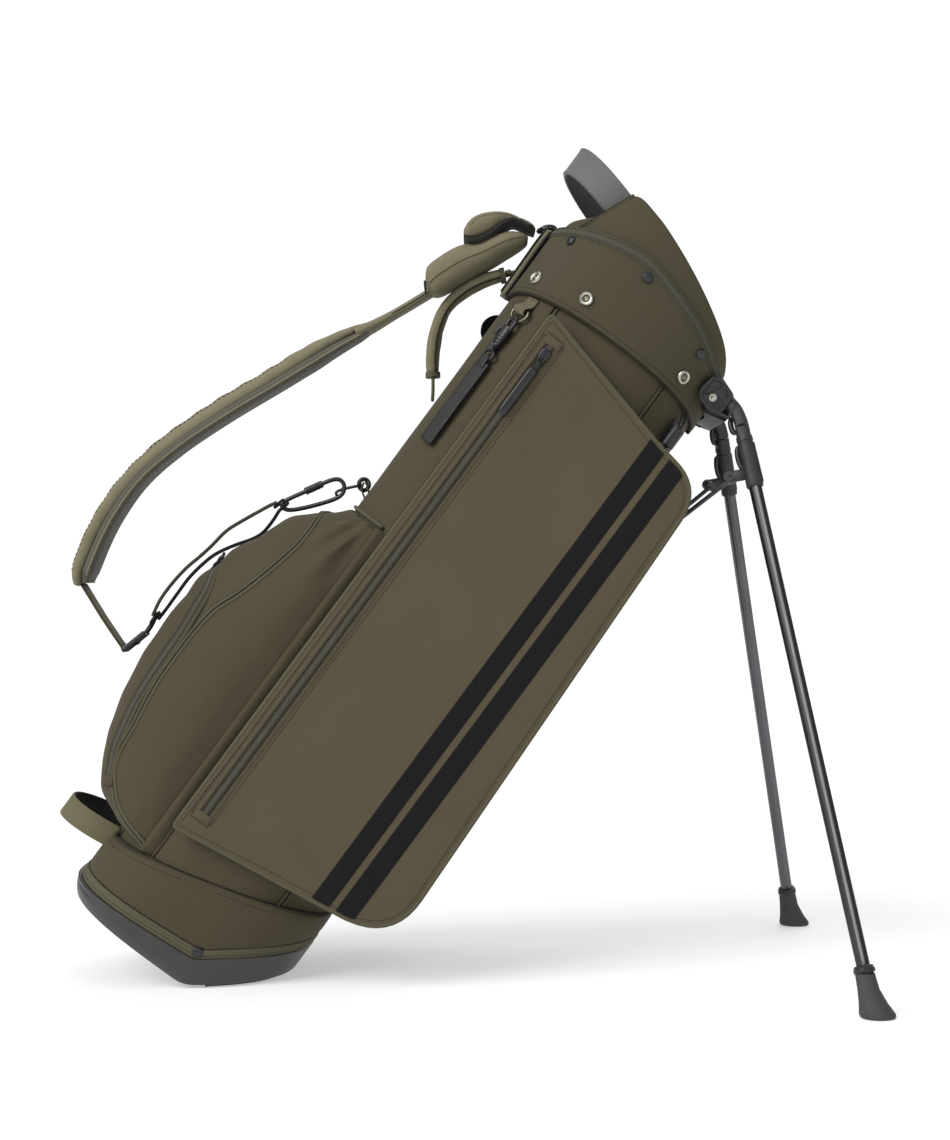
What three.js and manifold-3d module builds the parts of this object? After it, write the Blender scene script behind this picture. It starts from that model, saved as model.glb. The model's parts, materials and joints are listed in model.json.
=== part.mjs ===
// A golf stand bag standing on its two open legs.
// Millimetres, +Z up, the near side (with the zipped garment pocket) faces -Y.
// Most pieces are drawn in the bag's own axes: x towards the belly, y across, z up the bag.
import * as THREE from 'three';
import { mergeVertices } from 'three/addons/utils/BufferGeometryUtils.js';
import Module from 'manifold-3d';

const wasm = await Module();
wasm.setup();

// ---- driving dimensions ----
const LEAN = THREE.MathUtils.degToRad(36.5); // bag axis from the vertical
const BAG_X = -298.1; // where the bag axis starts, on the floor frame
const BAG_Z = 4.3;
const GAP = 0.3; // clearance between touching pieces
const WALL = 3; // sewn shell with its foam
const BODY = [109, 106]; // half widths of the tube, belly-spine and side-side
const BOOT = [112, 109];
const CUP = [113.5, 110.5];
const COLLAR = [114, 111];
const RIM = [109, 108];
const ROUND = 2.3; // superellipse power of the tube
const SQUARE = 2.9; // the base is squarer
const SEAM_B = 62; // side seams, from the tube's middle
const BOTTOM_A = 22; // flat bottom of the base
const KINK_B = 37; // where the base turns into the slanted toe
const TOE_PLATE = 9;
const HEM = { a: 50, b: 29, heelSlope: 0.091 };
const TOE_SLOPE = Math.tan(LEAN); // a floor-parallel line in the bag's axes
const BOOT_SEAM = { a: 115, slope: 0.28 };
const COLLAR_SEAM = { a: 741, rise: 14 };
const BAND = 10; // trim tape round the base and the collar
const POCKET_Y = 112.5; // inner face of the side pocket panels
const POCKET_T = 6;
const ZIP_B = -45;
const ZIP_A = [168, 715];
const PIVOT = new THREE.Vector3(114.3, 72, 772.1); // left leg pivot, the right one mirrors it
const LEG_TOP = new THREE.Vector3(264, 92, 490); // a point on the left leg, floor axes, before BAG_X
const LEG_FOOT = new THREE.Vector3(353.5, 232, 0);
const LEG_X = BAG_X + 318.1; // floor axes of those two points to the part's origin
const TUBE_R = 6.2;
const SCREW_R = 3;
const LUG_DROP = 76; // from the leg pivot down to the link lug
const LUG_REACH = 22; // the lug's eye, behind the tube
const LUG_T = 9;
const ROD_B = 118.5; // push rod, in front of the belly
const ROD_R = 2.6;
const ROD_END_A = 190;
const YOKE_A = 530;
const YOKE_HALF = 8;
const PIN_R = 2;
const EYE_T = 3;
const LINK_AXIS = [-0.394, 0.893, -0.216]; // the left link's turning axis, the right one mirrors it
const GUIDE_A = 300;
const LINK_R = 2.2;
const PAD_W = 56; // padded shoulder strap
const HANDLE_W = 31; // webbing of the lift handle
const STRAP_W = 24; // webbing of the straps
const DIVIDER_LOW = 150; // foot of the divider cloths
const STAY = { b: -70, y: 68, low: 34, high: 790, r: 3.5 }; // the two stiffening rods
const CUP_FLOOR = 5;
const WIDE = 260; // cutting shapes run this far across, and this far up, past the bag
const TALL = 900;

// ---- materials ----
function finish(color, roughness, metalness = 0) {
  return new THREE.MeshStandardMaterial({ color, roughness, metalness });
}
const CANVAS = finish('#5c5442', 0.85);
const NEOPRENE = finish('#544d3b', 0.7);
const PIPING = finish('#6b6549', 0.8);
const TAPE = finish('#4c4d44', 0.8);
const BLACK_FABRIC = finish('#232323', 0.9);
const PLASTIC = finish('#3b3b3c', 0.5);
const BLACK_PLASTIC = finish('#1f1f20', 0.45);
const HANDLE = finish('#6a6b6a', 0.6);
const SILVER = finish('#c9c4b2', 0.25, 1);
const LEG_METAL = finish('#4a4b4d', 0.35, 0.8);
const STEEL = finish('#303132', 0.4, 0.8);
const RUBBER = finish('#454544', 0.85);
const LEATHER = finish('#1e1c1b', 0.6);
const LINING = finish('#2c2b28', 0.9);

// ---- frames ----
const part = new THREE.Group();
const bag = new THREE.Group();
bag.rotation.y = LEAN;
bag.position.set(BAG_X, 0, BAG_Z);
part.add(bag);
bag.updateMatrixWorld(true);

function add(group, name, geometry, material) {
  const mesh = new THREE.Mesh(geometry, material);
  mesh.name = name;
  group.add(mesh);
  return mesh;
}
const toBag = (point) => bag.worldToLocal(point.clone());
const v = (x, y, z) => new THREE.Vector3(x, y, z);

// ---- solids ----
function volume(position, index) {
  const [p, q, r] = [v(0, 0, 0), v(0, 0, 0), v(0, 0, 0)];
  let sum = 0;
  for (let i = 0; i < index.length; i += 3) {
    p.fromBufferAttribute(position, index[i]);
    q.fromBufferAttribute(position, index[i + 1]);
    r.fromBufferAttribute(position, index[i + 2]);
    sum += p.dot(q.cross(r)) / 6;
  }
  return sum;
}

function solid(points, index) {
  const geometry = new THREE.BufferGeometry();
  geometry.setAttribute('position', new THREE.Float32BufferAttribute(points.flatMap((p) => p.toArray()), 3));
  if (volume(geometry.getAttribute('position'), index) < 0) index.reverse();
  geometry.setIndex(index);
  return geometry;
}

// Joins equal rings of points into one skin; an open run of rings is capped at both ends.
function loft(rings, closed = false) {
  const count = rings[0].length;
  const points = rings.flat();
  const index = [];
  const last = closed ? rings.length : rings.length - 1;
  for (let i = 0; i < last; i += 1) {
    const here = i * count;
    const next = ((i + 1) % rings.length) * count;
    for (let j = 0; j < count; j += 1) {
      const k = (j + 1) % count;
      index.push(here + j, here + k, next + k, here + j, next + k, next + j);
    }
  }
  if (!closed) {
    for (const [start, flip] of [[0, true], [(rings.length - 1) * count, false]]) {
      const middle = v(0, 0, 0);
      for (let j = 0; j < count; j += 1) middle.addScaledVector(points[start + j], 1 / count);
      points.push(middle);
      const hub = points.length - 1;
      for (let j = 0; j < count; j += 1) {
        const k = (j + 1) % count;
        if (flip) index.push(hub, start + k, start + j);
        else index.push(hub, start + j, start + k);
      }
    }
  }
  return solid(points, index);
}

function squircle(angle, [halfB, halfY], power) {
  const c = Math.cos(angle);
  const s = Math.sin(angle);
  return [
    halfB * Math.sign(c) * Math.abs(c) ** (2 / power),
    halfY * Math.sign(s) * Math.abs(s) ** (2 / power),
  ];
}
const grown = ([b, y], by) => [b + by, y + by];

// A wall that follows the tube from one angle to another, between two edge heights.
function wall({ half, power = ROUND, from = 0, to = 360, steps, low, high, thick = WALL }) {
  const closed = to - from >= 360;
  const rings = [];
  for (let i = 0; i < steps + (closed ? 0 : 1); i += 1) {
    const angle = THREE.MathUtils.degToRad(from + ((to - from) * i) / steps);
    const [b, y] = squircle(angle, half, power);
    const [bi, yi] = squircle(angle, grown(half, -thick), power);
    rings.push([v(b, y, low(b, y)), v(b, y, high(b, y)), v(bi, yi, high(bi, yi)), v(bi, yi, low(bi, yi))]);
  }
  return loft(rings, closed);
}

// A solid plug with the tube's section, for cutting and intersecting.
function plug(half, power, low, high, steps = 32) {
  const ring = (a) => Array.from({ length: steps }, (_, i) => {
    const [b, y] = squircle((2 * Math.PI * i) / steps, half, power);
    return v(b, y, a);
  });
  return loft([ring(low), ring(high)]);
}

// A side outline (b, a) drawn through the whole width.
function across(outline, width) {
  const shape = new THREE.Shape(outline.map(([b, a]) => new THREE.Vector2(b, a)));
  const geometry = new THREE.ExtrudeGeometry(shape, { depth: width, bevelEnabled: false, steps: 1 });
  geometry.rotateX(Math.PI / 2).translate(0, width / 2, 0);
  return geometry;
}

function toManifold(geometry, matrix) {
  let g = geometry.clone();
  if (matrix) g.applyMatrix4(matrix);
  for (const name of Object.keys(g.attributes)) if (name !== 'position') g.deleteAttribute(name);
  g = mergeVertices(g, 1e-4);
  return new wasm.Manifold(new wasm.Mesh({
    numProp: 3,
    vertProperties: new Float32Array(g.getAttribute('position').array),
    triVerts: new Uint32Array(g.getIndex().array),
  }));
}

function fromManifold(body) {
  const mesh = body.getMesh();
  const geometry = new THREE.BufferGeometry();
  geometry.setAttribute('position', new THREE.BufferAttribute(new Float32Array(mesh.vertProperties), 3));
  geometry.setIndex(Array.from(mesh.triVerts));
  return geometry;
}

// A round bar between two points.
function bar(from, to, radius, sides = 16, endRadius = radius) {
  const length = from.distanceTo(to);
  const geometry = new THREE.CylinderGeometry(endRadius, radius, length, sides);
  const heading = to.clone().sub(from).normalize();
  geometry.applyQuaternion(new THREE.Quaternion().setFromUnitVectors(v(0, 1, 0), heading));
  const middle = from.clone().add(to).multiplyScalar(0.5);
  return geometry.translate(middle.x, middle.y, middle.z);
}

function block(low, high) {
  const size = high.clone().sub(low);
  const middle = low.clone().add(high).multiplyScalar(0.5);
  return new THREE.BoxGeometry(size.x, size.y, size.z).translate(middle.x, middle.y, middle.z);
}

// A flat band of cloth or webbing: a smooth path in the x-z plane, its width along y.
function ribbon(path, thick, width, steps, y = 0) {
  const curve = new THREE.CatmullRomCurve3(path.map(([x, z]) => v(x, 0, z)), false, 'centripetal');
  const rings = [];
  for (let i = 0; i <= steps; i += 1) {
    const p = curve.getPointAt(i / steps);
    const t = curve.getTangentAt(i / steps);
    const side = v(-t.z, 0, t.x).multiplyScalar(thick(i / steps) / 2);
    const corner = (s, w) => p.clone().addScaledVector(side, s).add(v(0, y + w * width, 0));
    rings.push([corner(1, -0.5), corner(1, 0.5), corner(-1, 0.5), corner(-1, -0.5)]);
  }
  return loft(rings);
}

// A tube along a smooth path.
function tube(points, radius, sides, steps) {
  const section = new THREE.Shape();
  section.absarc(0, 0, radius, 0, 2 * Math.PI, false);
  const path = new THREE.CatmullRomCurve3(points, false, 'centripetal');
  const options = { steps, bevelEnabled: false, extrudePath: path, curveSegments: sides };
  return new THREE.ExtrudeGeometry(section, options);
}

// A wire ring through the points, back to the first.
function hoop(points, radius, sides, steps) {
  const path = new THREE.CatmullRomCurve3(points, true, 'centripetal');
  const frames = path.computeFrenetFrames(steps, true);
  const rings = [];
  for (let i = 0; i < steps; i += 1) {
    const p = path.getPointAt(i / steps);
    rings.push(Array.from({ length: sides }, (_, j) => {
      const turn = (2 * Math.PI * j) / sides;
      return p.clone().addScaledVector(frames.normals[i], Math.cos(turn) * radius)
        .addScaledVector(frames.binormals[i], Math.sin(turn) * radius);
    }));
  }
  return loft(rings, true);
}

// Smooth height of an edge above the points given for it.
function edge(points) {
  const curve = new THREE.CatmullRomCurve3(points.map(([b, a]) => v(b, a, 0)), false, 'centripetal');
  const samples = curve.getPoints(60);
  return (b) => {
    if (b <= samples[0].x) return samples[0].y;
    for (let i = 1; i < samples.length; i += 1) {
      const [p, q] = [samples[i - 1], samples[i]];
      if (b <= q.x) return p.y + ((q.y - p.y) * (b - p.x)) / (q.x - p.x);
    }
    return samples[samples.length - 1].y;
  };
}

const hem = (b) => HEM.a + (b - HEM.b) * (b < HEM.b ? HEM.heelSlope : TOE_SLOPE);
const bootSeam = (b) => BOOT_SEAM.a + BOOT_SEAM.slope * b;
const collarSeam = (b, y) => COLLAR_SEAM.a + (COLLAR_SEAM.rise * Math.abs(y)) / COLLAR[1];
const topSeam = edge([[-114, 817], [-76, 828], [-20, 835], [28, 824], [60, 814], [95, 797], [114, 788]]);
const rimEdge = edge([
  [-109, 836], [-100, 841], [-90, 847], [-83, 854], [-76, 870], [-67, 883], [-40, 878], [-11, 868], [47, 843],
  [92, 820], [108, 806],
]);
const seamAngle = THREE.MathUtils.radToDeg(Math.acos((SEAM_B / BODY[0]) ** (ROUND / 2)));

// ---- base ----
const floorPoint = (along, up = 0) => [
  KINK_B + along * Math.cos(LEAN) - up * Math.sin(LEAN),
  BOTTOM_A + along * Math.sin(LEAN) + up * Math.cos(LEAN),
];

function buildBase() {
  const reach = 140;
  const cupProfile = [
    [-reach, BOTTOM_A], [KINK_B - TOE_PLATE, BOTTOM_A], floorPoint(0, TOE_PLATE + 2 * GAP),
    floorPoint(reach, TOE_PLATE + 2 * GAP), [reach, hem(reach)], [HEM.b, HEM.a], [-reach, hem(-reach)],
  ];
  const cavity = [
    [-reach, BOTTOM_A + CUP_FLOOR], [KINK_B - TOE_PLATE, BOTTOM_A + CUP_FLOOR],
    floorPoint(0, TOE_PLATE + CUP_FLOOR + 2), floorPoint(reach + 20, TOE_PLATE + CUP_FLOOR + 2),
    [reach, TALL], [-reach, TALL],
  ];
  const outer = toManifold(plug(CUP, SQUARE, 0, TALL)).intersect(toManifold(across(cupProfile, WIDE)));
  const inner = toManifold(plug(grown(CUP, -CUP_FLOOR), SQUARE, 0, TALL))
    .intersect(toManifold(across(cavity, WIDE)));
  add(bag, 'base_cup', fromManifold(outer.subtract(inner)), PLASTIC);

  const plateLength = 94;
  const plateProfile = [floorPoint(0), floorPoint(plateLength), floorPoint(plateLength, TOE_PLATE),
    floorPoint(4, TOE_PLATE), floorPoint(0, 5)];
  const plateWidth = 190;
  const plate = toManifold(plug(CUP, SQUARE, 0, TALL)).intersect(toManifold(across(plateProfile, plateWidth)));
  const tab = toManifold(across([floorPoint(70), floorPoint(101), floorPoint(101, TOE_PLATE),
    floorPoint(70, TOE_PLATE)], 22));
  add(bag, 'toe_plate', fromManifold(plate.add(tab)), PLASTIC);

  add(bag, 'base_trim', wall({
    half: grown(BOOT, 1), power: SQUARE, steps: 48, thick: WALL + 1,
    low: (b) => hem(b) + GAP, high: (b) => hem(b) + BAND,
  }), PIPING);
  add(bag, 'boot_cuff', wall({
    half: BOOT, power: SQUARE, steps: 48, low: (b) => hem(b) + BAND + GAP, high: (b) => bootSeam(b) - GAP / 2,
  }), CANVAS);
}

// ---- tube ----
function buildTube() {
  const panels = [
    ['belly_panel', -seamAngle, seamAngle, CANVAS], ['left_panel', seamAngle, 180 - seamAngle, CANVAS],
    ['spine_panel', 180 - seamAngle, 180 + seamAngle, CANVAS],
    ['right_panel', 180 + seamAngle, 360 - seamAngle, CANVAS],
  ];
  const nudge = 0.12;
  for (const [name, from, to, material] of panels) {
    add(bag, name, wall({
      half: BODY, from: from + nudge, to: to - nudge, steps: 12,
      low: (b) => bootSeam(b) + GAP / 2, high: (b, y) => collarSeam(b, y) - GAP,
    }), material);
  }
  for (const [side, sign] of [['right', -1], ['left', 1]]) {
    const [foot, top] = [STAY.low, STAY.high].map((a) => v(STAY.b, sign * STAY.y, a));
    add(bag, `${side}_stay`, bar(foot, top, STAY.r, 10), BLACK_PLASTIC);
  }
}

// ---- collar, rim and dividers ----
const dividerTop = (b) => 818 - 0.2 * b;

function buildCollar() {
  const half = BAND / 2;
  add(bag, 'collar_shell', wall({
    half: COLLAR, steps: 56, thick: WALL + 1, low: collarSeam, high: (b) => topSeam(b) - half - 2 * GAP,
  }), NEOPRENE);
  add(bag, 'collar_trim', wall({
    half: grown(COLLAR, 1.5), steps: 56, thick: WALL + 2.5,
    low: (b) => topSeam(b) - half, high: (b) => topSeam(b) + half,
  }), TAPE);
  add(bag, 'rim_cuff', wall({
    half: RIM, steps: 56, thick: 7, low: (b) => topSeam(b) + half + 2 * GAP, high: rimEdge,
  }), NEOPRENE);

  const frameHalf = grown(RIM, -7.5);
  const ring = toManifold(wall({
    half: frameHalf, steps: 44, thick: 5, low: (b) => dividerTop(b) - 22, high: dividerTop,
  }));
  const span = frameHalf[0] - 3;
  const barTop = (b, drop) => [b, dividerTop(b) - drop];
  const lengthwise = toManifold(across([barTop(-span, 2), barTop(-span, 16), barTop(span, 16),
    barTop(span, 2)], 8));
  const crosswise = toManifold(across([barTop(-4, 1), barTop(-4, 17), barTop(4, 17), barTop(4, 1)],
    2 * (frameHalf[1] - 3)));
  add(bag, 'divider_frame', fromManifold(ring.add(lengthwise).add(crosswise)), BLACK_PLASTIC);

  const low = DIVIDER_LOW;
  const sheet = 0.8;
  const reach = 94;
  const top = (b) => dividerTop(b) - 25;
  const crossSheet = toManifold(across([[-sheet, low], [sheet, low], [sheet, top(0)], [-sheet, top(0)]],
    2 * reach));
  const sheetOutline = [[-reach, low], [reach, low], [reach, top(reach)], [-reach, top(-reach)]];
  const longSheet = toManifold(across(sheetOutline, 2 * sheet));
  add(bag, 'divider_cloth', fromManifold(crossSheet.add(longSheet)), LINING);
}

// ---- pockets ----
const pocketOuter = edge([
  [96, 116], [111, 142], [154, 168], [210, 184], [281, 190], [344, 185], [400, 167], [458, 135], [484, 111],
]);

function buildBallPocket() {
  const levels = [96, 103, 115, 135, 160, 200, 245, 290, 335, 375, 410, 440, 464, 482];
  const outerSteps = 18;
  const rings = levels.map((level) => {
    const ring = [];
    const reach = pocketOuter(level) - SEAM_B;
    const fade = Math.min(1, (level - 60) / 60, (540 - level) / 110);
    for (let i = 0; i <= outerSteps; i += 1) {
      const turn = Math.PI / 2 + (Math.PI * i) / outerSteps;
      const [b, y] = squircle(turn, [reach, 88 + 8 * fade], 2.3);
      ring.push(v(-SEAM_B - 2 + b, y, level));
    }
    const innerSteps = 12;
    for (let i = 0; i <= innerSteps; i += 1) {
      const angle = THREE.MathUtils.degToRad(180 + (seamAngle - 4) * (1 - (2 * i) / innerSteps));
      const [b, y] = squircle(angle, grown(BODY, 2), ROUND);
      ring.push(v(b, y, level));
    }
    return ring;
  });
  // The foot of the pocket follows the slanted seam of the boot.
  for (const ring of rings.slice(0, 3)) {
    for (const p of ring) p.z += 0.12 * (p.x + 110) * (rings.indexOf(ring) === 0 ? 1 : 0.6);
  }
  add(bag, 'ball_pocket', loft(rings), CANVAS);
}

function rounded(corners) {
  const shape = new THREE.Shape();
  corners.forEach(([x, y, r], i) => {
    const before = corners[(i + corners.length - 1) % corners.length];
    const after = corners[(i + 1) % corners.length];
    const here = new THREE.Vector2(x, y);
    const back = new THREE.Vector2(before[0], before[1]).sub(here).normalize().multiplyScalar(r);
    const on = new THREE.Vector2(after[0], after[1]).sub(here).normalize().multiplyScalar(r);
    const start = here.clone().add(back);
    if (i === 0) shape.moveTo(start.x, start.y);
    else shape.lineTo(start.x, start.y);
    if (r > 0) shape.quadraticCurveTo(x, y, here.x + on.x, here.y + on.y);
  });
  shape.closePath();
  return shape;
}

function buildSidePocket(side, sign) {
  const outline = rounded([[-SEAM_B, 141, 4], [118, 167, 0], [168, 178, 46], [149, 692, 36], [94, 701, 0],
    [-SEAM_B, 740, 4]]);
  const flat = { depth: POCKET_T, bevelEnabled: false, curveSegments: 8 };
  const panel = new THREE.ExtrudeGeometry(outline, flat);
  panel.rotateX(Math.PI / 2).translate(0, POCKET_T, 0);
  panel.translate(0, sign > 0 ? POCKET_Y : -POCKET_Y - POCKET_T, 0);
  const fill = rounded([[-SEAM_B + 6, 150, 4], [84, 172, 12], [84, 690, 20], [-SEAM_B + 6, 728, 4]]);
  const depth = 50;
  const inner = new THREE.ExtrudeGeometry(fill, { depth, bevelEnabled: false, curveSegments: 4 });
  inner.rotateX(Math.PI / 2).translate(0, depth, 0);
  inner.translate(0, sign > 0 ? POCKET_Y + 1 - depth : -POCKET_Y - 1, 0);
  const tubeBody = toManifold(plug(grown(BODY, 0.6), ROUND, 100, 800, 64));
  const body = toManifold(inner).subtract(tubeBody).add(toManifold(panel));
  add(bag, `${side}_pocket`, fromManifold(body), CANVAS);

  const face = sign * (POCKET_Y + POCKET_T);
  const zipY = [face + sign * GAP, face + sign * 1.5].sort((p, q) => p - q);
  const half = 5;
  const tape = block(v(ZIP_B - half, zipY[0], ZIP_A[0]), v(ZIP_B + half, zipY[1], ZIP_A[1]));
  add(bag, `${side}_zip`, tape, TAPE);
  const sliderY = [face + sign * 1.9, face + sign * 5.5].sort((p, q) => p - q);
  const sliderTop = ZIP_A[1] - 4;
  const sliderLow = v(ZIP_B - half, sliderY[0], sliderTop - 14);
  const slider = toManifold(block(sliderLow, v(ZIP_B + half, sliderY[1], sliderTop)));
  const pull = toManifold(across([[ZIP_B - 4, sliderTop - 72], [ZIP_B + 4, sliderTop - 72],
    [ZIP_B + 4, sliderTop - 10], [ZIP_B - 4, sliderTop - 10]], 3),
  new THREE.Matrix4().makeTranslation(0, (sliderY[0] + sliderY[1]) / 2, 0));
  add(bag, `${side}_zip_slider`, fromManifold(slider.add(pull)), BLACK_PLASTIC);
}

// ---- legs ----
// A leg frame has its origin at the pivot, y along the hinge and -z down the leg tube.
function legFrame(sign) {
  const pivot = v(PIVOT.x, sign * PIVOT.y, PIVOT.z);
  const shift = (p) => toBag(v(p.x + LEG_X, sign * p.y, p.z));
  const foot = shift(LEG_FOOT);
  const up = shift(LEG_TOP).sub(foot).normalize();
  const folded = v(0, 0, 1);
  const hinge = folded.clone().cross(up).normalize();
  const forward = hinge.clone().cross(up).normalize();
  pivot.y += foot.clone().sub(pivot).dot(hinge) / hinge.y; // keeps the tube in the plane it swings in
  const offset = foot.clone().sub(pivot).dot(forward);
  const drop = -foot.clone().sub(pivot).dot(up);
  const group = new THREE.Group();
  group.quaternion.setFromRotationMatrix(new THREE.Matrix4().makeBasis(forward, hinge, up));
  group.position.copy(pivot);
  bag.add(group);
  group.updateMatrixWorld(true);
  return { group, up, offset, drop, foot };
}

const HEAD_T = 16;
const SLEEVE_R = 9.5;
const SLEEVE_END = -92;
const BORE = 40; // half length of the bars that cut holes
function buildLeg(side, sign) {
  const { group, offset, drop, foot, up } = legFrame(sign);
  const ahead = -offset; // the tube runs this far in front of the pivot, along the frame's -x
  const outline = [[9, 6], [0, 10], [2 - ahead, 5], [-ahead - SLEEVE_R, -6], [-ahead - SLEEVE_R, -46],
    [SLEEVE_R - ahead, -46], [SLEEVE_R - ahead, -14], [-6, -9], [7, -7]];
  const neck = toManifold(across(outline.reverse(), HEAD_T));
  const socket = toManifold(bar(v(offset, 0, SLEEVE_END), v(offset, 0, -12), SLEEVE_R, 20));
  const lugEnd = LUG_REACH - ahead + 5;
  const lug = toManifold(across([[4 - ahead, -LUG_DROP - 8], [lugEnd, -LUG_DROP - 4], [lugEnd, -LUG_DROP + 5],
    [4 - ahead, -LUG_DROP + 10]], LUG_T));
  const bore = toManifold(bar(v(0, -BORE, 0), v(0, BORE, 0), SCREW_R + 2 * GAP, 16));
  const tubeBore = toManifold(bar(v(offset, 0, -140), v(offset, 0, -40), TUBE_R + GAP, 20));
  const head = neck.add(socket).add(lug).subtract(bore).subtract(tubeBore);
  add(group, `${side}_leg_head`, fromManifold(head), PLASTIC);
  const tube = bar(v(offset, 0, 14 - drop), v(offset, 0, -40 - GAP), TUBE_R, 20);
  add(group, `${side}_leg_tube`, tube, LEG_METAL);
  add(group, `${side}_leg_screw`, bar(v(0, -17, 0), v(0, 17, 0), SCREW_R, 16), SILVER);

  const rings = [];
  const tip = v(LEG_FOOT.x + LEG_X, sign * LEG_FOOT.y, 0);
  const top = toBag(tip).addScaledVector(up, 40);
  const topFloor = bag.localToWorld(top.clone());
  const levels = [
    [0, 15.5, 14, 3], [3, 16.5, 15, 3], [12, 13, 12.5, 1.5], [24, 10, 10, 0], [topFloor.z, 9, 9, 0],
  ];
  for (const [z, halfX, halfY, toe] of levels) {
    const along = z / topFloor.z;
    const middle = tip.clone().lerp(topFloor, along);
    rings.push(Array.from({ length: 20 }, (_, i) => {
      const turn = (Math.PI * i) / 10;
      return v(middle.x + toe + halfX * Math.cos(turn), middle.y + halfY * Math.sin(turn), z);
    }));
  }
  const boot = toManifold(loft(rings));
  const axisFoot = bag.localToWorld(foot.clone());
  const above = bag.localToWorld(foot.clone().addScaledVector(up, 60));
  const entry = axisFoot.clone().lerp(above, 13 / 60);
  const hole = toManifold(bar(entry, above, TUBE_R + GAP, 20));
  add(part, `${side}_leg_foot`, fromManifold(boot.subtract(hole)), RUBBER);
}

function buildBracket() {
  const profile = [[93, 775], [96, 789], [106, 793], [120, 788], [131, 781], [134, 775], [132, 763],
    [112, 760], [98, 766]];
  let body = toManifold(across(profile, 2 * 80));
  body = body.subtract(toManifold(plug(grown(COLLAR, 2 * GAP + 1.5), ROUND, 600, TALL, 64)));
  for (const sign of [-1, 1]) {
    const { group } = legFrame(sign);
    const half = HEAD_T / 2 + 0.8;
    const slot = toManifold(block(v(-60, -half, -60), v(60, half, 12)), group.matrix);
    const bore = toManifold(bar(v(0, -BORE, 0), v(0, BORE, 0), SCREW_R + GAP, 16), group.matrix);
    body = body.subtract(slot).subtract(bore);
    bag.remove(group);
  }
  add(bag, 'leg_bracket', fromManifold(body), PLASTIC);
}

// ---- the linkage that opens the legs ----
// The links turn on the yoke's pins; their upper eyes stand free beside the leg lugs.
function buildLinkage() {
  let rod = toManifold(bar(v(ROD_B, 0, ROD_END_A), v(ROD_B, 0, YOKE_A), ROD_R, 12));
  rod = rod.add(toManifold(block(v(113, -YOKE_HALF, YOKE_A - 6), v(124, YOKE_HALF, YOKE_A + 6))));
  for (const [side, sign] of [['right', -1], ['left', 1]]) {
    const { group, offset } = legFrame(sign);
    const eyeSide = sign * (LUG_T / 2 + 3);
    const top = v(offset + LUG_REACH, eyeSide, -LUG_DROP).applyMatrix4(group.matrix);
    bag.remove(group);
    const low = v(ROD_B, sign * (YOKE_HALF + 4), YOKE_A);
    const axis = v(LINK_AXIS[0], sign * LINK_AXIS[1], LINK_AXIS[2]);
    const legHinge = v(0, 1, 0).applyQuaternion(group.quaternion);
    const disc = (middle, line, half, radius) => toManifold(bar(middle.clone().addScaledVector(line, -half),
      middle.clone().addScaledVector(line, half), radius, 16));
    rod = rod.add(toManifold(bar(low.clone().addScaledVector(axis, -6), low.clone().addScaledVector(axis, 3),
      PIN_R, 12)));
    const wire = toManifold(bar(low, top, LINK_R, 10));
    const link = disc(low, axis, EYE_T / 2, 5.5).add(disc(top, legHinge, EYE_T / 2, 5)).add(wire)
      .subtract(disc(low, axis, 10, PIN_R + GAP));
    add(bag, `${side}_link`, fromManifold(link), STEEL);
  }
  add(bag, 'push_rod', fromManifold(rod), STEEL);

  const guide = toManifold(block(v(100, -9, GUIDE_A), v(124, 9, GUIDE_A + 30)))
    .subtract(toManifold(plug(grown(BODY, GAP), ROUND, 0, TALL, 64)))
    .subtract(toManifold(bar(v(ROD_B, 0, 0), v(ROD_B, 0, TALL), ROD_R + 0.5, 12)));
  add(bag, 'rod_guide', fromManifold(guide), BLACK_PLASTIC);
}

// ---- small hardware on the tube ----
// A seat on the tube's skin: x points outwards, z up the bag.
function seat(b, side, a, half, lift, power = ROUND) {
  const y = side * half[1] * (1 - Math.abs(b / half[0]) ** power) ** (1 / power);
  const normal = v(Math.sign(b) * Math.abs(b / half[0]) ** (power - 1) / half[0],
    side * Math.abs(y / half[1]) ** (power - 1) / half[1], 0).normalize();
  const group = new THREE.Group();
  group.position.set(b, y, a).addScaledVector(normal, lift);
  group.rotation.z = Math.atan2(normal.y, normal.x);
  bag.add(group);
  return group;
}

function buildRivets() {
  const spots = [[-97, 766], [-45, 773], [73, 770]];
  for (const [side, sign] of [['right', -1], ['left', 1]]) {
    spots.forEach(([b, a], i) => {
      const group = seat(b, sign, a, COLLAR, 1.2);
      add(group, `${side}_rivet_${i + 1}`, bar(v(0, 0, 0), v(2.6, 0, 0), 6.6, 20, 5.4), SILVER);
    });
  }
}

function buildTowelClip() {
  const group = seat(-86, -1, 732, BODY, 0);
  const ring = [[0, -11], [0, 11], [-6, 11], [-11.5, 6], [-13, 0], [-11.5, -6], [-6, -11]];
  add(group, 'towel_ring', hoop(ring.map(([z, y]) => v(4, y, z)), 1.5, 8, 28), SILVER);
  const clip = across([[2.4, -74], [8, -74], [8, -34], [6.8, -18], [6.8, -16], [2.4, -16]].reverse(), 13);
  add(group, 'towel_clip', clip, BLACK_PLASTIC);
  add(group, 'leather_tag', block(v(2.6, -9, -157), v(5.6, 9, -75)), LEATHER);
}

function buildCordLock() {
  const group = seat(92, -1, 716, BODY, 0);
  const stopper = toManifold(bar(v(9, 0, -6), v(9, 0, 14), 7.5, 16));
  const tab = toManifold(block(v(2, -4, 8), v(9, 4, 20)));
  add(group, 'cord_lock', fromManifold(stopper.add(tab)), BLACK_PLASTIC);
}

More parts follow.
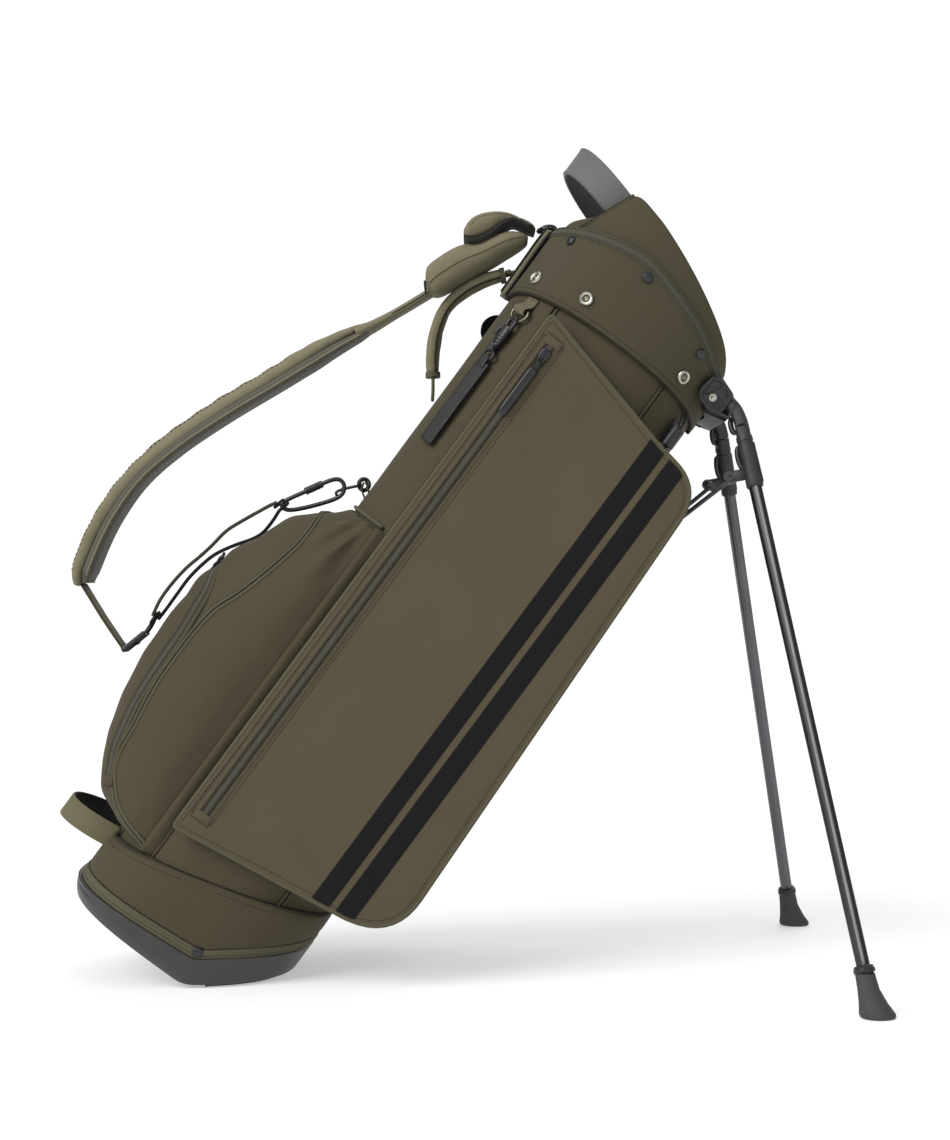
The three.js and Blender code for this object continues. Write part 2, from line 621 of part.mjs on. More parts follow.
// ---- handles and straps, drawn on the floor axes in the middle plane ----
function loopBand(rootB, reach, halfY, low, width, thick) {
  const steps = 16;
  const path = Array.from({ length: steps + 1 }, (_, i) => {
    const turn = (Math.PI * i) / steps;
    return [rootB - reach * Math.sin(turn) ** 0.9, halfY * Math.cos(turn)];
  });
  const rings = path.map(([b, y], i) => {
    const before = path[Math.max(i - 1, 0)];
    const after = path[Math.min(i + 1, path.length - 1)];
    const along = new THREE.Vector2(after[0] - before[0], after[1] - before[1]).normalize();
    const out = v(along.y, -along.x, 0).multiplyScalar(thick / 2);
    const z = low(b);
    const [near, far] = [v(b, y, z), v(b, y, z + width)];
    return [near.clone().add(out), far.clone().add(out), far.clone().sub(out), near.clone().sub(out)];
  });
  return loft(rings);
}

function buildStraps() {
  add(bag, 'lift_handle', loopBand(-70, 70, 65, (b) => 854 - 0.29 * (b + 70), HANDLE_W, 4), HANDLE);
  add(bag, 'heel_handle', loopBand(-116, 50, 44, (b) => 72 + 0.15 * (b + 116), 23, 2.4), PIPING);

  const swell = (t) => 12 + 13 * Math.sin(Math.PI * Math.min(1, t * 1.05 + 0.02)) ** 0.6;
  add(part, 'shoulder_strap', ribbon([[-80, 640], [-128, 616], [-180, 585], [-235, 552], [-282, 520],
    [-318, 488], [-345, 450], [-362, 415], [-371, 388], [-371, 378]], swell, PAD_W, 26), CANVAS);
  add(part, 'strap_tail', ribbon([[-371, 373], [-351, 345], [-335, 322.5]], () => 4, 25, 4), PIPING);
  add(part, 'strap_buckle', ribbon([[-329, 316], [-318, 326], [-308, 334]], () => 11, 30, 3), BLACK_PLASTIC);
  add(part, 'strap_link', ribbon([[-77, 641.5], [-52, 655], [-31, 667]], () => 6, 34, 4), CANVAS);
  const pad = [[-31, 683], [-27, 701], [7, 720], [20, 738], [38, 750], [58, 750], [74, 741], [82, 733],
    [75, 721], [45, 707], [15, 690], [-15, 671], [-27, 668]];
  add(part, 'yoke_pad', across(pad.reverse(), PAD_W + 4), CANVAS);
  add(part, 'strap_hook', ribbon([[83, 733.5], [90, 737], [96, 738.5]], () => 6, 12, 3), BLACK_PLASTIC);
  add(bag, 'spine_tape', block(v(-122, -20, 744), v(-116.5, 20, 812)), CANVAS);

  const grip = [[50, 690.5], [32, 686], [9, 674.5], [-9, 657.5], [-19, 634], [-22.5, 610], [-22, 588]];
  add(part, 'grab_handle', ribbon(grip, () => 12, 30, 18), CANVAS);
  add(part, 'grab_webbing', ribbon([[-22, 587.5], [-22, 575], [-23, 564]], () => 4, STRAP_W, 3), PIPING);
}

// ---- the elastic cords over the ball pocket ----
const CORD_R = 1.8;
const CORD_A = [[-301, 350], [-294, 365], [-281, 383], [-266, 399], [-254, 409], [-243, 419], [-227, 435],
  [-211, 445], [-195, 454], [-184, 460], [-177, 463]];
const CORD_B = [[-298, 346], [-291, 355], [-278, 373], [-266, 389], [-247, 407], [-238, 413], [-220, 421],
  [-203, 427], [-193, 433], [-183, 445], [-176, 456]];

function buildBungee() {
  const route = (points, y) => points.map(([x, z]) => v(x, y, z));
  add(part, 'bungee_cord_a', tube(route(CORD_A, -9), CORD_R, 8, 36), BLACK_FABRIC);
  add(part, 'bungee_cord_b', tube(route(CORD_B, 7), CORD_R, 8, 36), BLACK_FABRIC);
  const link = [[-172, 463], [-150, 474], [-122, 486], [-112, 483], [-112, 473], [-122, 466], [-150, 458],
    [-168, 456]];
  add(part, 'carabiner', hoop(link.map(([x, z]) => v(x, 0, z)), 2.2, 8, 44), BLACK_PLASTIC);
  const anchor = toManifold(block(v(-118, -8, 496), v(-109.6, 8, 514)))
    .subtract(toManifold(plug(grown(BODY, GAP), ROUND, 0, TALL, 64)))
    .add(toManifold(bar(v(-128, 0, 505), v(-116, 0, 505), 2.2, 10)));
  add(bag, 'bungee_anchor', fromManifold(anchor), BLACK_PLASTIC);
}

buildBase();
buildTube();
buildCollar();
buildBallPocket();
buildSidePocket('right', -1);
buildSidePocket('left', 1);
buildBracket();
buildLeg('right', -1);
buildLeg('left', 1);
buildLinkage();
buildRivets();
buildTowelClip();
buildCordLock();
buildStraps();
buildBungee();

export default part;
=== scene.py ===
# A golf stand bag on its two open legs: the visible surfaces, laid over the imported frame.
# Metres, +Z up. The bag's own axes are used for most pieces, in millimetres: b towards the
# legs, y across, a up the bag.
import json
import math

import bmesh
import bpy
import numpy as np
from mathutils import Matrix, Vector, noise
from mathutils.bvhtree import BVHTree

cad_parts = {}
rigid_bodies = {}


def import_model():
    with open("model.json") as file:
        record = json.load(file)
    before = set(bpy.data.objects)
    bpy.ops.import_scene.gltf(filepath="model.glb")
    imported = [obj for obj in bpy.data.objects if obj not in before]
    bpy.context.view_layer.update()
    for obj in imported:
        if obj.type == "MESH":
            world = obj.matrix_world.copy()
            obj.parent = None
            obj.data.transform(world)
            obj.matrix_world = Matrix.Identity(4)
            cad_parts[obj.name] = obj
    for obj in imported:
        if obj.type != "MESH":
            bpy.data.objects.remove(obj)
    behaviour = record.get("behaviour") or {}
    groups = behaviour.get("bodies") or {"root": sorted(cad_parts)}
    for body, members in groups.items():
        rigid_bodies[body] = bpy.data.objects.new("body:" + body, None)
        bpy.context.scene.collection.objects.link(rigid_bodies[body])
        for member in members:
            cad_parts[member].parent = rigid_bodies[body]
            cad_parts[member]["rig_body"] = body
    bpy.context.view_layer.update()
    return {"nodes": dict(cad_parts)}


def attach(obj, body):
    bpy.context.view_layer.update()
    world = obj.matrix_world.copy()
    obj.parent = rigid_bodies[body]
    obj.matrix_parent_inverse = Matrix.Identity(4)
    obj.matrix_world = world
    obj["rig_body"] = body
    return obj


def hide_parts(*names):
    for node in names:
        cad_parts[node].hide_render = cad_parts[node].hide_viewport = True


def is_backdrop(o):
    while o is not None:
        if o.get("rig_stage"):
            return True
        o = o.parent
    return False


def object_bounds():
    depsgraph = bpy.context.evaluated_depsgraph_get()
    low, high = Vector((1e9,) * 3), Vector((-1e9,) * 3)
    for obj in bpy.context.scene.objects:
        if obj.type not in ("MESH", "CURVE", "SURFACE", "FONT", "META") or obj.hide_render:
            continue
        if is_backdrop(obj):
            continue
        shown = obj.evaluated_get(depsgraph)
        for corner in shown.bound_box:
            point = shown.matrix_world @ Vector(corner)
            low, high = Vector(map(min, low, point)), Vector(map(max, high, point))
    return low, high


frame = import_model()
NODES = frame["nodes"]

# ---------------------------------------------------------------- the bag's axes
MM = 0.001
LEAN = math.radians(36.5)
COS, SIN = math.cos(LEAN), math.sin(LEAN)
BAG_X, BAG_Z = -298.1, 4.3
ACROSS = Vector((0, 1, 0))
SIDES = (("right", -1), ("left", 1))
NEAR_AND_FAR = (("near", -1), ("far", 1))

BODY, BOOT, CUP = (109, 106), (112, 109), (113.5, 110.5)
COLLAR, RIM = (114, 111), (109, 108)
ROUND, SQUARE = 2.3, 2.9
SEAM_B = 62
SEAM_ANGLE = math.degrees(math.acos((SEAM_B / BODY[0]) ** (ROUND / 2)))


def bag(b, y, a):
    """A point in the bag's axes, in mm, as a point of the frame, in metres."""
    return Vector((BAG_X + a * SIN + b * COS, y, BAG_Z + a * COS - b * SIN)) * MM


def turned(b, y, a):
    """A direction in the bag's axes as a direction of the frame."""
    return Vector((a * SIN + b * COS, y, a * COS - b * SIN)).normalized()


def floor_axes(x, y, z):
    return Vector((x, y, z)) * MM


BAG_MATRIX = Matrix(
    ((COS, 0, SIN, BAG_X * MM), (0, 1, 0, 0), (-SIN, 0, COS, BAG_Z * MM), (0, 0, 0, 1))
)
TO_BAG = BAG_MATRIX.inverted()


def squircle(angle, half, power):
    c, s = math.cos(angle), math.sin(angle)
    return (
        half[0] * math.copysign(abs(c) ** (2 / power), c),
        half[1] * math.copysign(abs(s) ** (2 / power), s),
    )


def outward(b, y, half, power):
    n = Vector(
        (
            math.copysign(abs(b / half[0]) ** (power - 1), b) / half[0],
            math.copysign(abs(y / half[1]) ** (power - 1), y) / half[1],
            0,
        )
    )
    return n.normalized()


def grown(half, by):
    return (half[0] + by, half[1] + by)


def side_y(b, side, half, power=ROUND):
    return side * half[1] * (1 - abs(b / half[0]) ** power) ** (1 / power)


def smooth_line(points, count):
    """Evenly spaced points on a smooth line through the given ones, and its length."""
    points = [Vector(p) for p in points]
    knots = [0.0]
    for p, q in zip(points, points[1:]):
        knots.append(knots[-1] + max((q - p).length, 1e-9) ** 0.5)
    ends = [2 * points[0] - points[1]] + points + [2 * points[-1] - points[-2]]
    ks = [2 * knots[0] - knots[1]] + knots + [2 * knots[-1] - knots[-2]]
    fine = []
    for i in range(1, len(ends) - 2):
        p0, p1, p2, p3 = ends[i - 1 : i + 3]
        t0, t1, t2, t3 = ks[i - 1 : i + 3]
        for j in range(16):
            t = t1 + (t2 - t1) * j / 16
            a1 = p0 * ((t1 - t) / (t1 - t0)) + p1 * ((t - t0) / (t1 - t0))
            a2 = p1 * ((t2 - t) / (t2 - t1)) + p2 * ((t - t1) / (t2 - t1))
            a3 = p2 * ((t3 - t) / (t3 - t2)) + p3 * ((t - t2) / (t3 - t2))
            b1 = a1 * ((t2 - t) / (t2 - t0)) + a2 * ((t - t0) / (t2 - t0))
            b2 = a2 * ((t3 - t) / (t3 - t1)) + a3 * ((t - t1) / (t3 - t1))
            fine.append(b1 * ((t2 - t) / (t2 - t1)) + b2 * ((t - t1) / (t2 - t1)))
    fine.append(points[-1])
    far = [0.0]
    for p, q in zip(fine, fine[1:]):
        far.append(far[-1] + (q - p).length)
    out = []
    k = 0
    for i in range(count):
        want = far[-1] * i / (count - 1)
        while k < len(far) - 2 and far[k + 1] < want:
            k += 1
        step = far[k + 1] - far[k]
        out.append(fine[k].lerp(fine[k + 1], (want - far[k]) / step if step else 0))
    return out, far[-1]


def through(points, count):
    """A smooth line through points of the frame."""
    return smooth_line(points, count)[0]


def upright(points, count, y=0):
    """A smooth line through (x, z) points, in mm, on an upright plane of the frame."""
    return through([floor_axes(x, y, z) for x, z in points], count)


def along_bag(points, count):
    """A smooth line through points in the bag's axes, in mm."""
    return through([bag(*p) for p in points], count)


def curve_through(points):
    """Heights of an edge above b, as a function."""
    line = through([(b, a, 0) for b, a in points], 80)
    xs, ys = [p.x for p in line], [p.y for p in line]
    return lambda b: float(np.interp(b, xs, ys))


def hem(b):
    return 50 + (b - 29) * (0.091 if b < 29 else math.tan(LEAN))


def boot_seam(b):
    return 115 + 0.28 * b


def collar_seam(b, y):
    return 741 + 14 * abs(y) / COLLAR[1]


top_seam = curve_through(
    [(-114, 817), (-76, 828), (-20, 835), (28, 824), (60, 814), (95, 797), (114, 788)]
)
rim_edge = curve_through(
    [(-109, 836), (-100, 841), (-90, 847), (-83, 854), (-76, 870), (-67, 883), (-40, 878)]
    + [(-11, 868), (47, 843), (92, 820), (108, 806)]
)

# ---------------------------------------------------------------- camera and light
SENSOR = 36
VIEW_DISTANCE, VIEW_HEIGHT = 2.0, 1.14
camera_data = bpy.data.cameras.new("camera")
camera_data.sensor_width = SENSOR
camera_data.lens = SENSOR * VIEW_DISTANCE / VIEW_HEIGHT
camera_data.clip_start, camera_data.clip_end = 0.05, 100
camera = bpy.data.objects.new("camera", camera_data)
bpy.context.scene.collection.objects.link(camera)
camera.location = (0.020, -VIEW_DISTANCE, 0.3957)
camera.rotation_euler = (math.pi / 2, 0, 0)
bpy.context.scene.camera = camera


# ---------------------------------------------------------------- mesh helpers
def link(obj):
    bpy.context.scene.collection.objects.link(obj)
    return obj


def mesh_object(name, points, faces, uvs=None, body="root", sharp=None):
    mesh = bpy.data.meshes.new(name)
    mesh.from_pydata([tuple(p) for p in points], [], faces)
    mesh.validate()
    if uvs is not None:
        layer = mesh.uv_layers.new(name="surface")
        flat = np.array([uvs[l.vertex_index] for l in mesh.loops], np.float32)
        layer.data.foreach_set("uv", flat.ravel())
    mesh.polygons.foreach_set("use_smooth", [True] * len(mesh.polygons))
    if sharp is not None:
        mesh.set_sharp_from_angle(angle=math.radians(sharp))
    obj = link(bpy.data.objects.new(name, mesh))
    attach(obj, body)
    return obj


def dress(obj, material, replaces=()):
    materials = material if isinstance(material, (list, tuple)) else [material]
    obj.data.materials.clear()
    for m in materials:
        obj.data.materials.append(m)
    if replaces:
        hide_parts(*replaces)
    return obj


def loft(rings, closed_loop=False, cap=True):
    """Faces that join equal rings of point numbers; ends are capped with fans of their ring."""
    faces = []
    last = len(rings) if closed_loop else len(rings) - 1
    for i in range(last):
        here, there = rings[i], rings[(i + 1) % len(rings)]
        n = len(here)
        for j in range(n):
            k = (j + 1) % n
            faces.append((here[j], here[k], there[k], there[j]))
    if cap and not closed_loop:
        faces.append(tuple(reversed(rings[0])))
        faces.append(tuple(rings[-1]))
    return faces


def numbered(rings):
    points, numbers = [], []
    for ring in rings:
        numbers.append(list(range(len(points), len(points) + len(ring))))
        points.extend(ring)
    return points, numbers


def lofted(name, rings, body="root", closed_loop=False, sharp=None):
    points, numbers = numbered(rings)
    u = 0.0
    uvs = []
    for i, ring in enumerate(rings):
        if i:
            u += (sum(ring, Vector()) / len(ring) - sum(rings[i - 1], Vector()) / len(ring)).length
        w = 0.0
        for j, p in enumerate(ring):
            if j:
                w += (p - ring[j - 1]).length
            uvs.append((u, w))
    obj = mesh_object(name, points, loft(numbers, closed_loop), uvs, body, sharp)
    fix_outward(obj)
    return obj


def fix_outward(obj):
    """Turns a closed mesh's faces outwards."""
    mesh = obj.data
    middle = sum((v.co for v in mesh.vertices), Vector()) / max(len(mesh.vertices), 1)
    total = sum(p.normal.dot(p.center - middle) * p.area for p in mesh.polygons)
    if total < 0:
        mesh.flip_normals()


def frames_along(line, normal=None):
    """Tangent, side and up at each point: up follows the given normals as closely as it can."""
    out = []
    up = None
    for i in range(len(line)):
        before, after = line[max(i - 1, 0)], line[min(i + 1, len(line) - 1)]
        t = (after - before).normalized()
        if normal is not None:
            n = normal[i] if isinstance(normal, list) else normal
        elif up is None:
            n = ACROSS if abs(t.y) < 0.9 else Vector((1, 0, 0))
        else:
            n = up
        side = t.cross(n).normalized()
        up = side.cross(t).normalized()
        out.append((t, side, up))
    return out


def swept(name, line, section, normal=None, body="root", scale=None, closed=False, sharp=None):
    """A section of (across, up) points in mm swept along a line of points in metres."""
    rings = []
    for i, (p, (_, side, up)) in enumerate(zip(line, frames_along(line, normal))):
        k = scale(i / (len(line) - 1)) if scale else 1.0
        rings.append([p + side * (x * MM * k) + up * (z * MM * k) for x, z in section])
    return lofted(name, rings, body, closed_loop=closed, sharp=sharp)


def circle(radius, sides=10):
    return [
        (radius * math.cos(2 * math.pi * i / sides), radius * math.sin(2 * math.pi * i / sides))
        for i in range(sides)
    ]


def mirrored(half):
    """A section made of its left half, given from the foot up, and that half's mirror."""
    return half + [(-x, z) for x, z in reversed(half)]


def band(width, height):
    """The section of a flat tape that lies on a surface."""
    w = width / 2
    r = min(0.6, w * 0.5)
    return mirrored(
        [(-w, -0.5), (-w, height * 0.4), (-w + r * 0.3, height * 0.85), (-w + r, height)]
    )


def slab(width, thick, power=4.0, sides=16):
    """A rounded rectangle."""
    return [squircle(2 * math.pi * i / sides, (width / 2, thick / 2), power) for i in range(sides)]


def joined(name, parts, body="root", sharp=None):
    """One mesh from many lists of rings."""
    points, faces, uvs = [], [], []
    for rings in parts:
        pts, numbers = numbered(rings)
        base = len(points)
        points.extend(pts)
        uvs.extend([(0.0, 0.0)] * len(pts))
        part = loft(numbers)
        middle = sum(pts, Vector()) / len(pts)
        first = part[0]
        n = (pts[first[1]] - pts[first[0]]).cross(pts[first[2]] - pts[first[1]])
        flip = n.dot((pts[first[0]] + pts[first[2]]) / 2 - middle) < 0
        for f in part:
            g = tuple(base + i for i in f)
            faces.append(tuple(reversed(g)) if flip else g)
    return mesh_object(name, points, faces, uvs, body, sharp)


def ticks(line, normals, pitch, length, width, height, across=False):
    """Rings of short rounded bars along a line: stitches, or the ribs of a zip coil."""
    out = []
    far = 0.0
    want = pitch / 2
    frames = frames_along(line, normals)
    for i in range(len(line) - 1):
        step = (line[i + 1] - line[i]).length / MM
        while want <= far + step and step > 0:
            t, side, up = frames[i]
            p = line[i].lerp(line[i + 1], (want - far) / step)
            along, over = (side, t) if across else (t, side)
            rings = []
            for s, k in ((-0.5, 0.45), (-0.3, 1.0), (0.3, 1.0), (0.5, 0.45)):
                c = p + along * (s * length * MM)
                rings.append(
                    [
                        c + over * (x * k * width / 2 * MM) + up * (z * k * height * MM)
                        for x, z in ((-1, -0.35), (-0.7, 0.7), (0, 1), (0.7, 0.7), (1, -0.35))
                    ]
                )
            out.append(rings)
            want += pitch
        far += step
    return out


def surface_of(*objs):
    points, faces = [], []
    for o in objs:
        base = len(points)
        points.extend(v.co.copy() for v in o.data.vertices)
        faces.extend([base + i for i in p.vertices] for p in o.data.polygons)
    return BVHTree.FromPolygons(points, faces)


def laid(surface, points, count, lift=0.0, axis=None):
    """A smooth line through points, pressed on a surface, with the surface's normals there."""
    line = through(points, count)
    out, normals = [], []
    for p in line:
        q, n, _, _ = surface.find_nearest(p)
        if (p - q).dot(n) < 0 and axis is None:
            n = n if n.dot(p - axis_point(p)) > 0 else -n
        elif n.dot(p - axis_point(p)) < 0:
            n = -n
        out.append(q + n * lift * MM)
        normals.append(n)
    smoothed = []
    for i in range(len(normals)):
        near = normals[max(i - 2, 0) : i + 3]
        smoothed.append(sum(near, Vector()).normalized())
    return out, smoothed


def axis_point(p):
    q = TO_BAG @ p
    return BAG_MATRIX @ Vector((0, 0, q.z))


def seat(b, side, a, half, lift=0.0, power=ROUND):
    """A matrix on the tube's skin: x points outwards, z up the bag."""
    y = side_y(b, side, half, power)
    n = outward(b, y, half, power)
    x = turned(n.x, n.y, 0)
    z = turned(0, 0, 1)
    y_axis = z.cross(x)
    at = bag(b + n.x * lift, y + n.y * lift, a)
    return placed(x, y_axis, z, at)


def placed(x, y, z, at):
    """A matrix from its three directions and its place."""
    m = Matrix.Identity(4)
    m.col[0][:3], m.col[1][:3], m.col[2][:3], m.col[3][:3] = x, y, z, at
    return m


def turned_rings(matrix, profile, sides=24):
    """Rings of a turned shape about the matrix's x axis; the profile is (radius, height) in mm."""
    rings = []
    for r, h in profile:
        r = max(r, 0.02)
        rings.append(
            [
                matrix
                @ Vector(
                    (
                        h * MM,
                        r * MM * math.cos(2 * math.pi * i / sides),
                        r * MM * math.sin(2 * math.pi * i / sides),
                    )
                )
                for i in range(sides)
            ]
        )
    return rings


def strip(name, line, section, material, slot, nodes=(), **how):
    """A section swept along a line, dressed; how goes to swept."""
    return dress(swept(name, line, section, **how), material, nodes)


def threaded(name, line, normals, size, material=None, body="root"):
    """A run of stitches along a line; size is their pitch, length, width and height, in mm."""
    return dress(joined(name, ticks(line, normals, *size), body), material or THREAD)


def lathed(name, place, profile, sides, material, slot, nodes=(), **how):
    """A turned shape about a matrix's x axis, dressed; how goes to joined."""
    return dress(joined(name, [turned_rings(place, profile, sides)], **how), material, nodes)


def subdivide(obj):
    m = obj.modifiers.new("subdivision", "SUBSURF")
    m.levels = m.render_levels = 1


def bevel(obj, width, angle):
    m = obj.modifiers.new("bevel", "BEVEL")
    m.width = width * MM
    m.segments = 2
    m.limit_method = "ANGLE"
    m.angle_limit = math.radians(angle)


def refined(node, material, width=0.0, angle=30):
    """A hard part's own form with its facets joined, its edges rounded and its shading smooth."""
    source = NODES[node]
    form = bmesh.new()
    form.from_mesh(source.data)
    bmesh.ops.remove_doubles(form, verts=form.verts, dist=2e-6)
    bmesh.ops.dissolve_limit(
        form, angle_limit=math.radians(0.6), verts=form.verts, edges=form.edges, delimit=set()
    )
    mesh = bpy.data.meshes.new(node + "_part")
    form.to_mesh(mesh)
    form.free()
    for layer in [a.name for a in mesh.attributes if a.name == "custom_normal"]:
        mesh.attributes.remove(mesh.attributes[layer])
    mesh.polygons.foreach_set("use_smooth", [True] * len(mesh.polygons))
    mesh.set_sharp_from_angle(angle=math.radians(angle))
    obj = link(bpy.data.objects.new(node + "_part", mesh))
    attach(obj, source["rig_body"])
    if width:
        bevel(obj, width, angle)
    return dress(obj, material, [node])


def closed_line(points, per=12):
    """A smooth closed line through points."""
    n = len(points)
    out = []
    for i in range(n):
        p0, p1, p2, p3 = (points[(i + k) % n] for k in (-1, 0, 1, 2))
        for j in range(per):
            t = j / per
            out.append(
                (p1 * 2 + (p2 - p0) * t + (p0 * 2 - p1 * 5 + p2 * 4 - p3) * t * t
                 + (p1 * 3 - p0 - p2 * 3 + p3) * t ** 3) * 0.5
            )
    return out


def waves(p, size, seed=0.0):
    return noise.noise(Vector((p[0] / size + seed, p[1] / size - seed, p[2] / size + 2 * seed)))


# ---------------------------------------------------------------- materials
class Nodes:
    """A short way to write a material's nodes."""

    def __init__(self, name):
        self.material = bpy.data.materials.new(name)
        self.material.use_nodes = True
        self.tree = self.material.node_tree
        self.tree.nodes.clear()
        self.shader = self.new("ShaderNodeBsdfPrincipled")
        out = self.new("ShaderNodeOutputMaterial")
        self.join(self.shader.outputs[0], out.inputs[0])

    def new(self, kind, **values):
        node = self.tree.nodes.new(kind)
        for key, value in values.items():
            if hasattr(node, key):
                setattr(node, key, value)
            else:
                node.inputs[key.replace("_", " ")].default_value = value
        return node

    def join(self, a, b):
        self.tree.links.new(a, b)

    def bag_coordinates(self, turn=(0.0, 0.0, 0.0)):
        """The object's coordinates turned into the bag's axes."""
        at = self.new("ShaderNodeTexCoord")
        turned_by = self.new("ShaderNodeMapping")
        turned_by.inputs["Rotation"].default_value = (turn[0], turn[1] - LEAN, turn[2])
        self.join(at.outputs["Object"], turned_by.inputs["Vector"])
        return turned_by.outputs["Vector"]

    def noise(self, where, scale, detail=3.0, roughness=0.5):
        n = self.new("ShaderNodeTexNoise", Scale=scale, Detail=detail, Roughness=roughness)
        self.join(where, n.inputs["Vector"])
        return n.outputs["Fac"]

    def threads(self, where, pitch, direction):
        n = self.new("ShaderNodeTexWave", wave_type="BANDS", bands_direction=direction)
        n.inputs["Scale"].default_value = 0.314 / pitch  # one band is 2 pi / 20 scale units
        n.inputs["Distortion"].default_value = 0.0
        self.join(where, n.inputs["Vector"])
        return n.outputs["Fac"]

    def maths(self, operation, a, b=None):
        n = self.new("ShaderNodeMath", operation=operation)
        for i, value in enumerate((a, b)):
            if value is None:
                continue
            if isinstance(value, (int, float)):
                n.inputs[i].default_value = value
            else:
                self.join(value, n.inputs[i])
        return n.outputs[0]

    def ramp(self, value, low, high, to_low, to_high):
        n = self.new("ShaderNodeMapRange")
        n.inputs["From Min"].default_value, n.inputs["From Max"].default_value = low, high
        n.inputs["To Min"].default_value, n.inputs["To Max"].default_value = to_low, to_high
        self.join(value, n.inputs["Value"])
        return n.outputs["Result"]

    def mix(self, factor, a, b):
        n = self.new("ShaderNodeMix", data_type="RGBA")
        self.join(factor, n.inputs["Factor"])
        for socket, value in ((n.inputs[6], a), (n.inputs[7], b)):
            if isinstance(value, tuple):
                socket.default_value = value
            else:
                self.join(value, socket)
        return n.outputs[2]

    def bump(self, height, strength, distance, normal=None):
        n = self.new("ShaderNodeBump")
        n.inputs["Strength"].default_value = strength
        n.inputs["Distance"].default_value = distance
        self.join(height, n.inputs["Height"])
        if normal is not None:
            self.join(normal, n.inputs["Normal"])
        return n.outputs["Normal"]

    def finish(self, color=None, roughness=None, normal=None, **constants):
        for socket, value in (("Base Color", color), ("Roughness", roughness)):
            if value is None:
                continue
            if isinstance(value, (tuple, float)):
                self.shader.inputs[socket].default_value = value
            else:
                self.join(value, self.shader.inputs[socket])
        if normal is not None:
            self.join(normal, self.shader.inputs["Normal"])
        for key, value in constants.items():
            self.shader.inputs[key.replace("_", " ")].default_value = value
        return self.material


def shade(color, k):
    return (color[0] * k, color[1] * k, color[2] * k, 1)


def cloth(name, color, pitch, relief, rough=0.75, mottle=0.12, grain=0.3):
    """Coated woven cloth: a fine plain weave, a matt mottled coat, soft creases in the light."""
    n = Nodes(name)
    where = n.bag_coordinates()
    up = n.threads(where, pitch, "Z")
    over = n.threads(where, pitch * 1.03, "X")
    cross = n.threads(where, pitch * 1.03, "Y")
    weave = n.maths("ADD", n.maths("MULTIPLY", up, over), n.maths("MULTIPLY", up, cross))
    patches = n.noise(where, 9.0, 4.0, 0.55)
    fine = n.noise(where, 900.0, 2.0, 0.6)
    tone = n.maths("ADD", n.maths("MULTIPLY", patches, 0.75), n.maths("MULTIPLY", fine, 0.25))
    tinted = n.mix(
        n.ramp(tone, 0.3, 0.7, 0.0, 1.0), shade(color, 1 - mottle), shade(color, 1 + mottle)
    )
    woven = n.mix(n.ramp(weave, 0.0, 1.4, 0.0, 1.0), shade(color, 0.82), shade(color, 1.08))
    both = n.new("ShaderNodeMix", data_type="RGBA")
    both.inputs["Factor"].default_value = grain
    n.join(tinted, both.inputs[6])
    n.join(woven, both.inputs[7])
    creases = n.noise(where, 16.0, 2.0, 0.5)
    soft = n.bump(creases, 0.25, 0.004)
    normal = n.bump(n.maths("ADD", weave, n.maths("MULTIPLY", fine, 0.6)), relief, 0.0004, soft)
    return n.finish(
        both.outputs[2],
        n.ramp(patches, 0.3, 0.7, rough - 0.06, rough + 0.06),
        normal,
        Sheen_Weight=0.04,
        Sheen_Roughness=0.5,
        Specular_IOR_Level=0.2,
    )


def webbing(name, color, pitch, rough=0.8):
    """Ribbed tape: cross ribs and a fine diagonal twill."""
    n = Nodes(name)
    where = n.bag_coordinates()
    ribs = n.threads(where, pitch, "Z")
    twill = n.threads(where, pitch * 0.8, "DIAGONAL")
    fuzz = n.noise(where, 700.0, 2.0)
    height = n.maths("ADD", ribs, n.maths("MULTIPLY", twill, 0.5))
    tone = n.maths("ADD", n.maths("MULTIPLY", height, 0.5), n.maths("MULTIPLY", fuzz, 0.4))
    tint = n.mix(n.ramp(tone, 0.2, 1.1, 0.0, 1.0), shade(color, 0.72), shade(color, 1.2))
    return n.finish(
        tint, rough, n.bump(height, 0.5, 0.0005), Sheen_Weight=0.05, Specular_IOR_Level=0.2
    )


def moulded(name, color, rough=0.5, grain=0.35):
    """Moulded plastic with a fine spark-eroded grain and slightly scuffed patches."""
    n = Nodes(name)
    at = n.new("ShaderNodeTexCoord").outputs["Object"]
    pits = n.noise(at, 1400.0, 2.0, 0.6)
    wear = n.noise(at, 22.0, 5.0, 0.65)
    tint = n.mix(
        n.ramp(wear, 0.35, 0.75, 0.0, 1.0), shade(color, 0.85), shade(color, 1.15)
    )
    return n.finish(
        tint,
        n.ramp(wear, 0.3, 0.7, rough - 0.08, rough + 0.1),
        n.bump(pits, grain, 0.0003),
        Specular_IOR_Level=0.5,
    )


def metal(name, color, rough, brush=0.2, streak=0.1, turn=(0, 0, 0)):
    """Metal with fine drawn lines up the turned axes and slight stains."""
    n = Nodes(name)
    where = n.bag_coordinates(turn)
    stretched = n.new("ShaderNodeMapping")
    stretched.inputs["Scale"].default_value = (1, 1, 0.02)
    n.join(where, stretched.inputs["Vector"])
    lines = n.noise(stretched.outputs["Vector"], 1500.0, 2.0)
    stains = n.noise(where, 30.0, 4.0)
    tint = n.mix(
        n.ramp(stains, 0.3, 0.7, 0.0, 1.0), shade(color, 1 - streak), shade(color, 1 + streak)
    )
    return n.finish(
        tint,
        n.ramp(lines, 0.3, 0.7, rough - 0.06, rough + 0.08),
        n.bump(lines, brush, 0.0002),
        Metallic=1.0,
    )


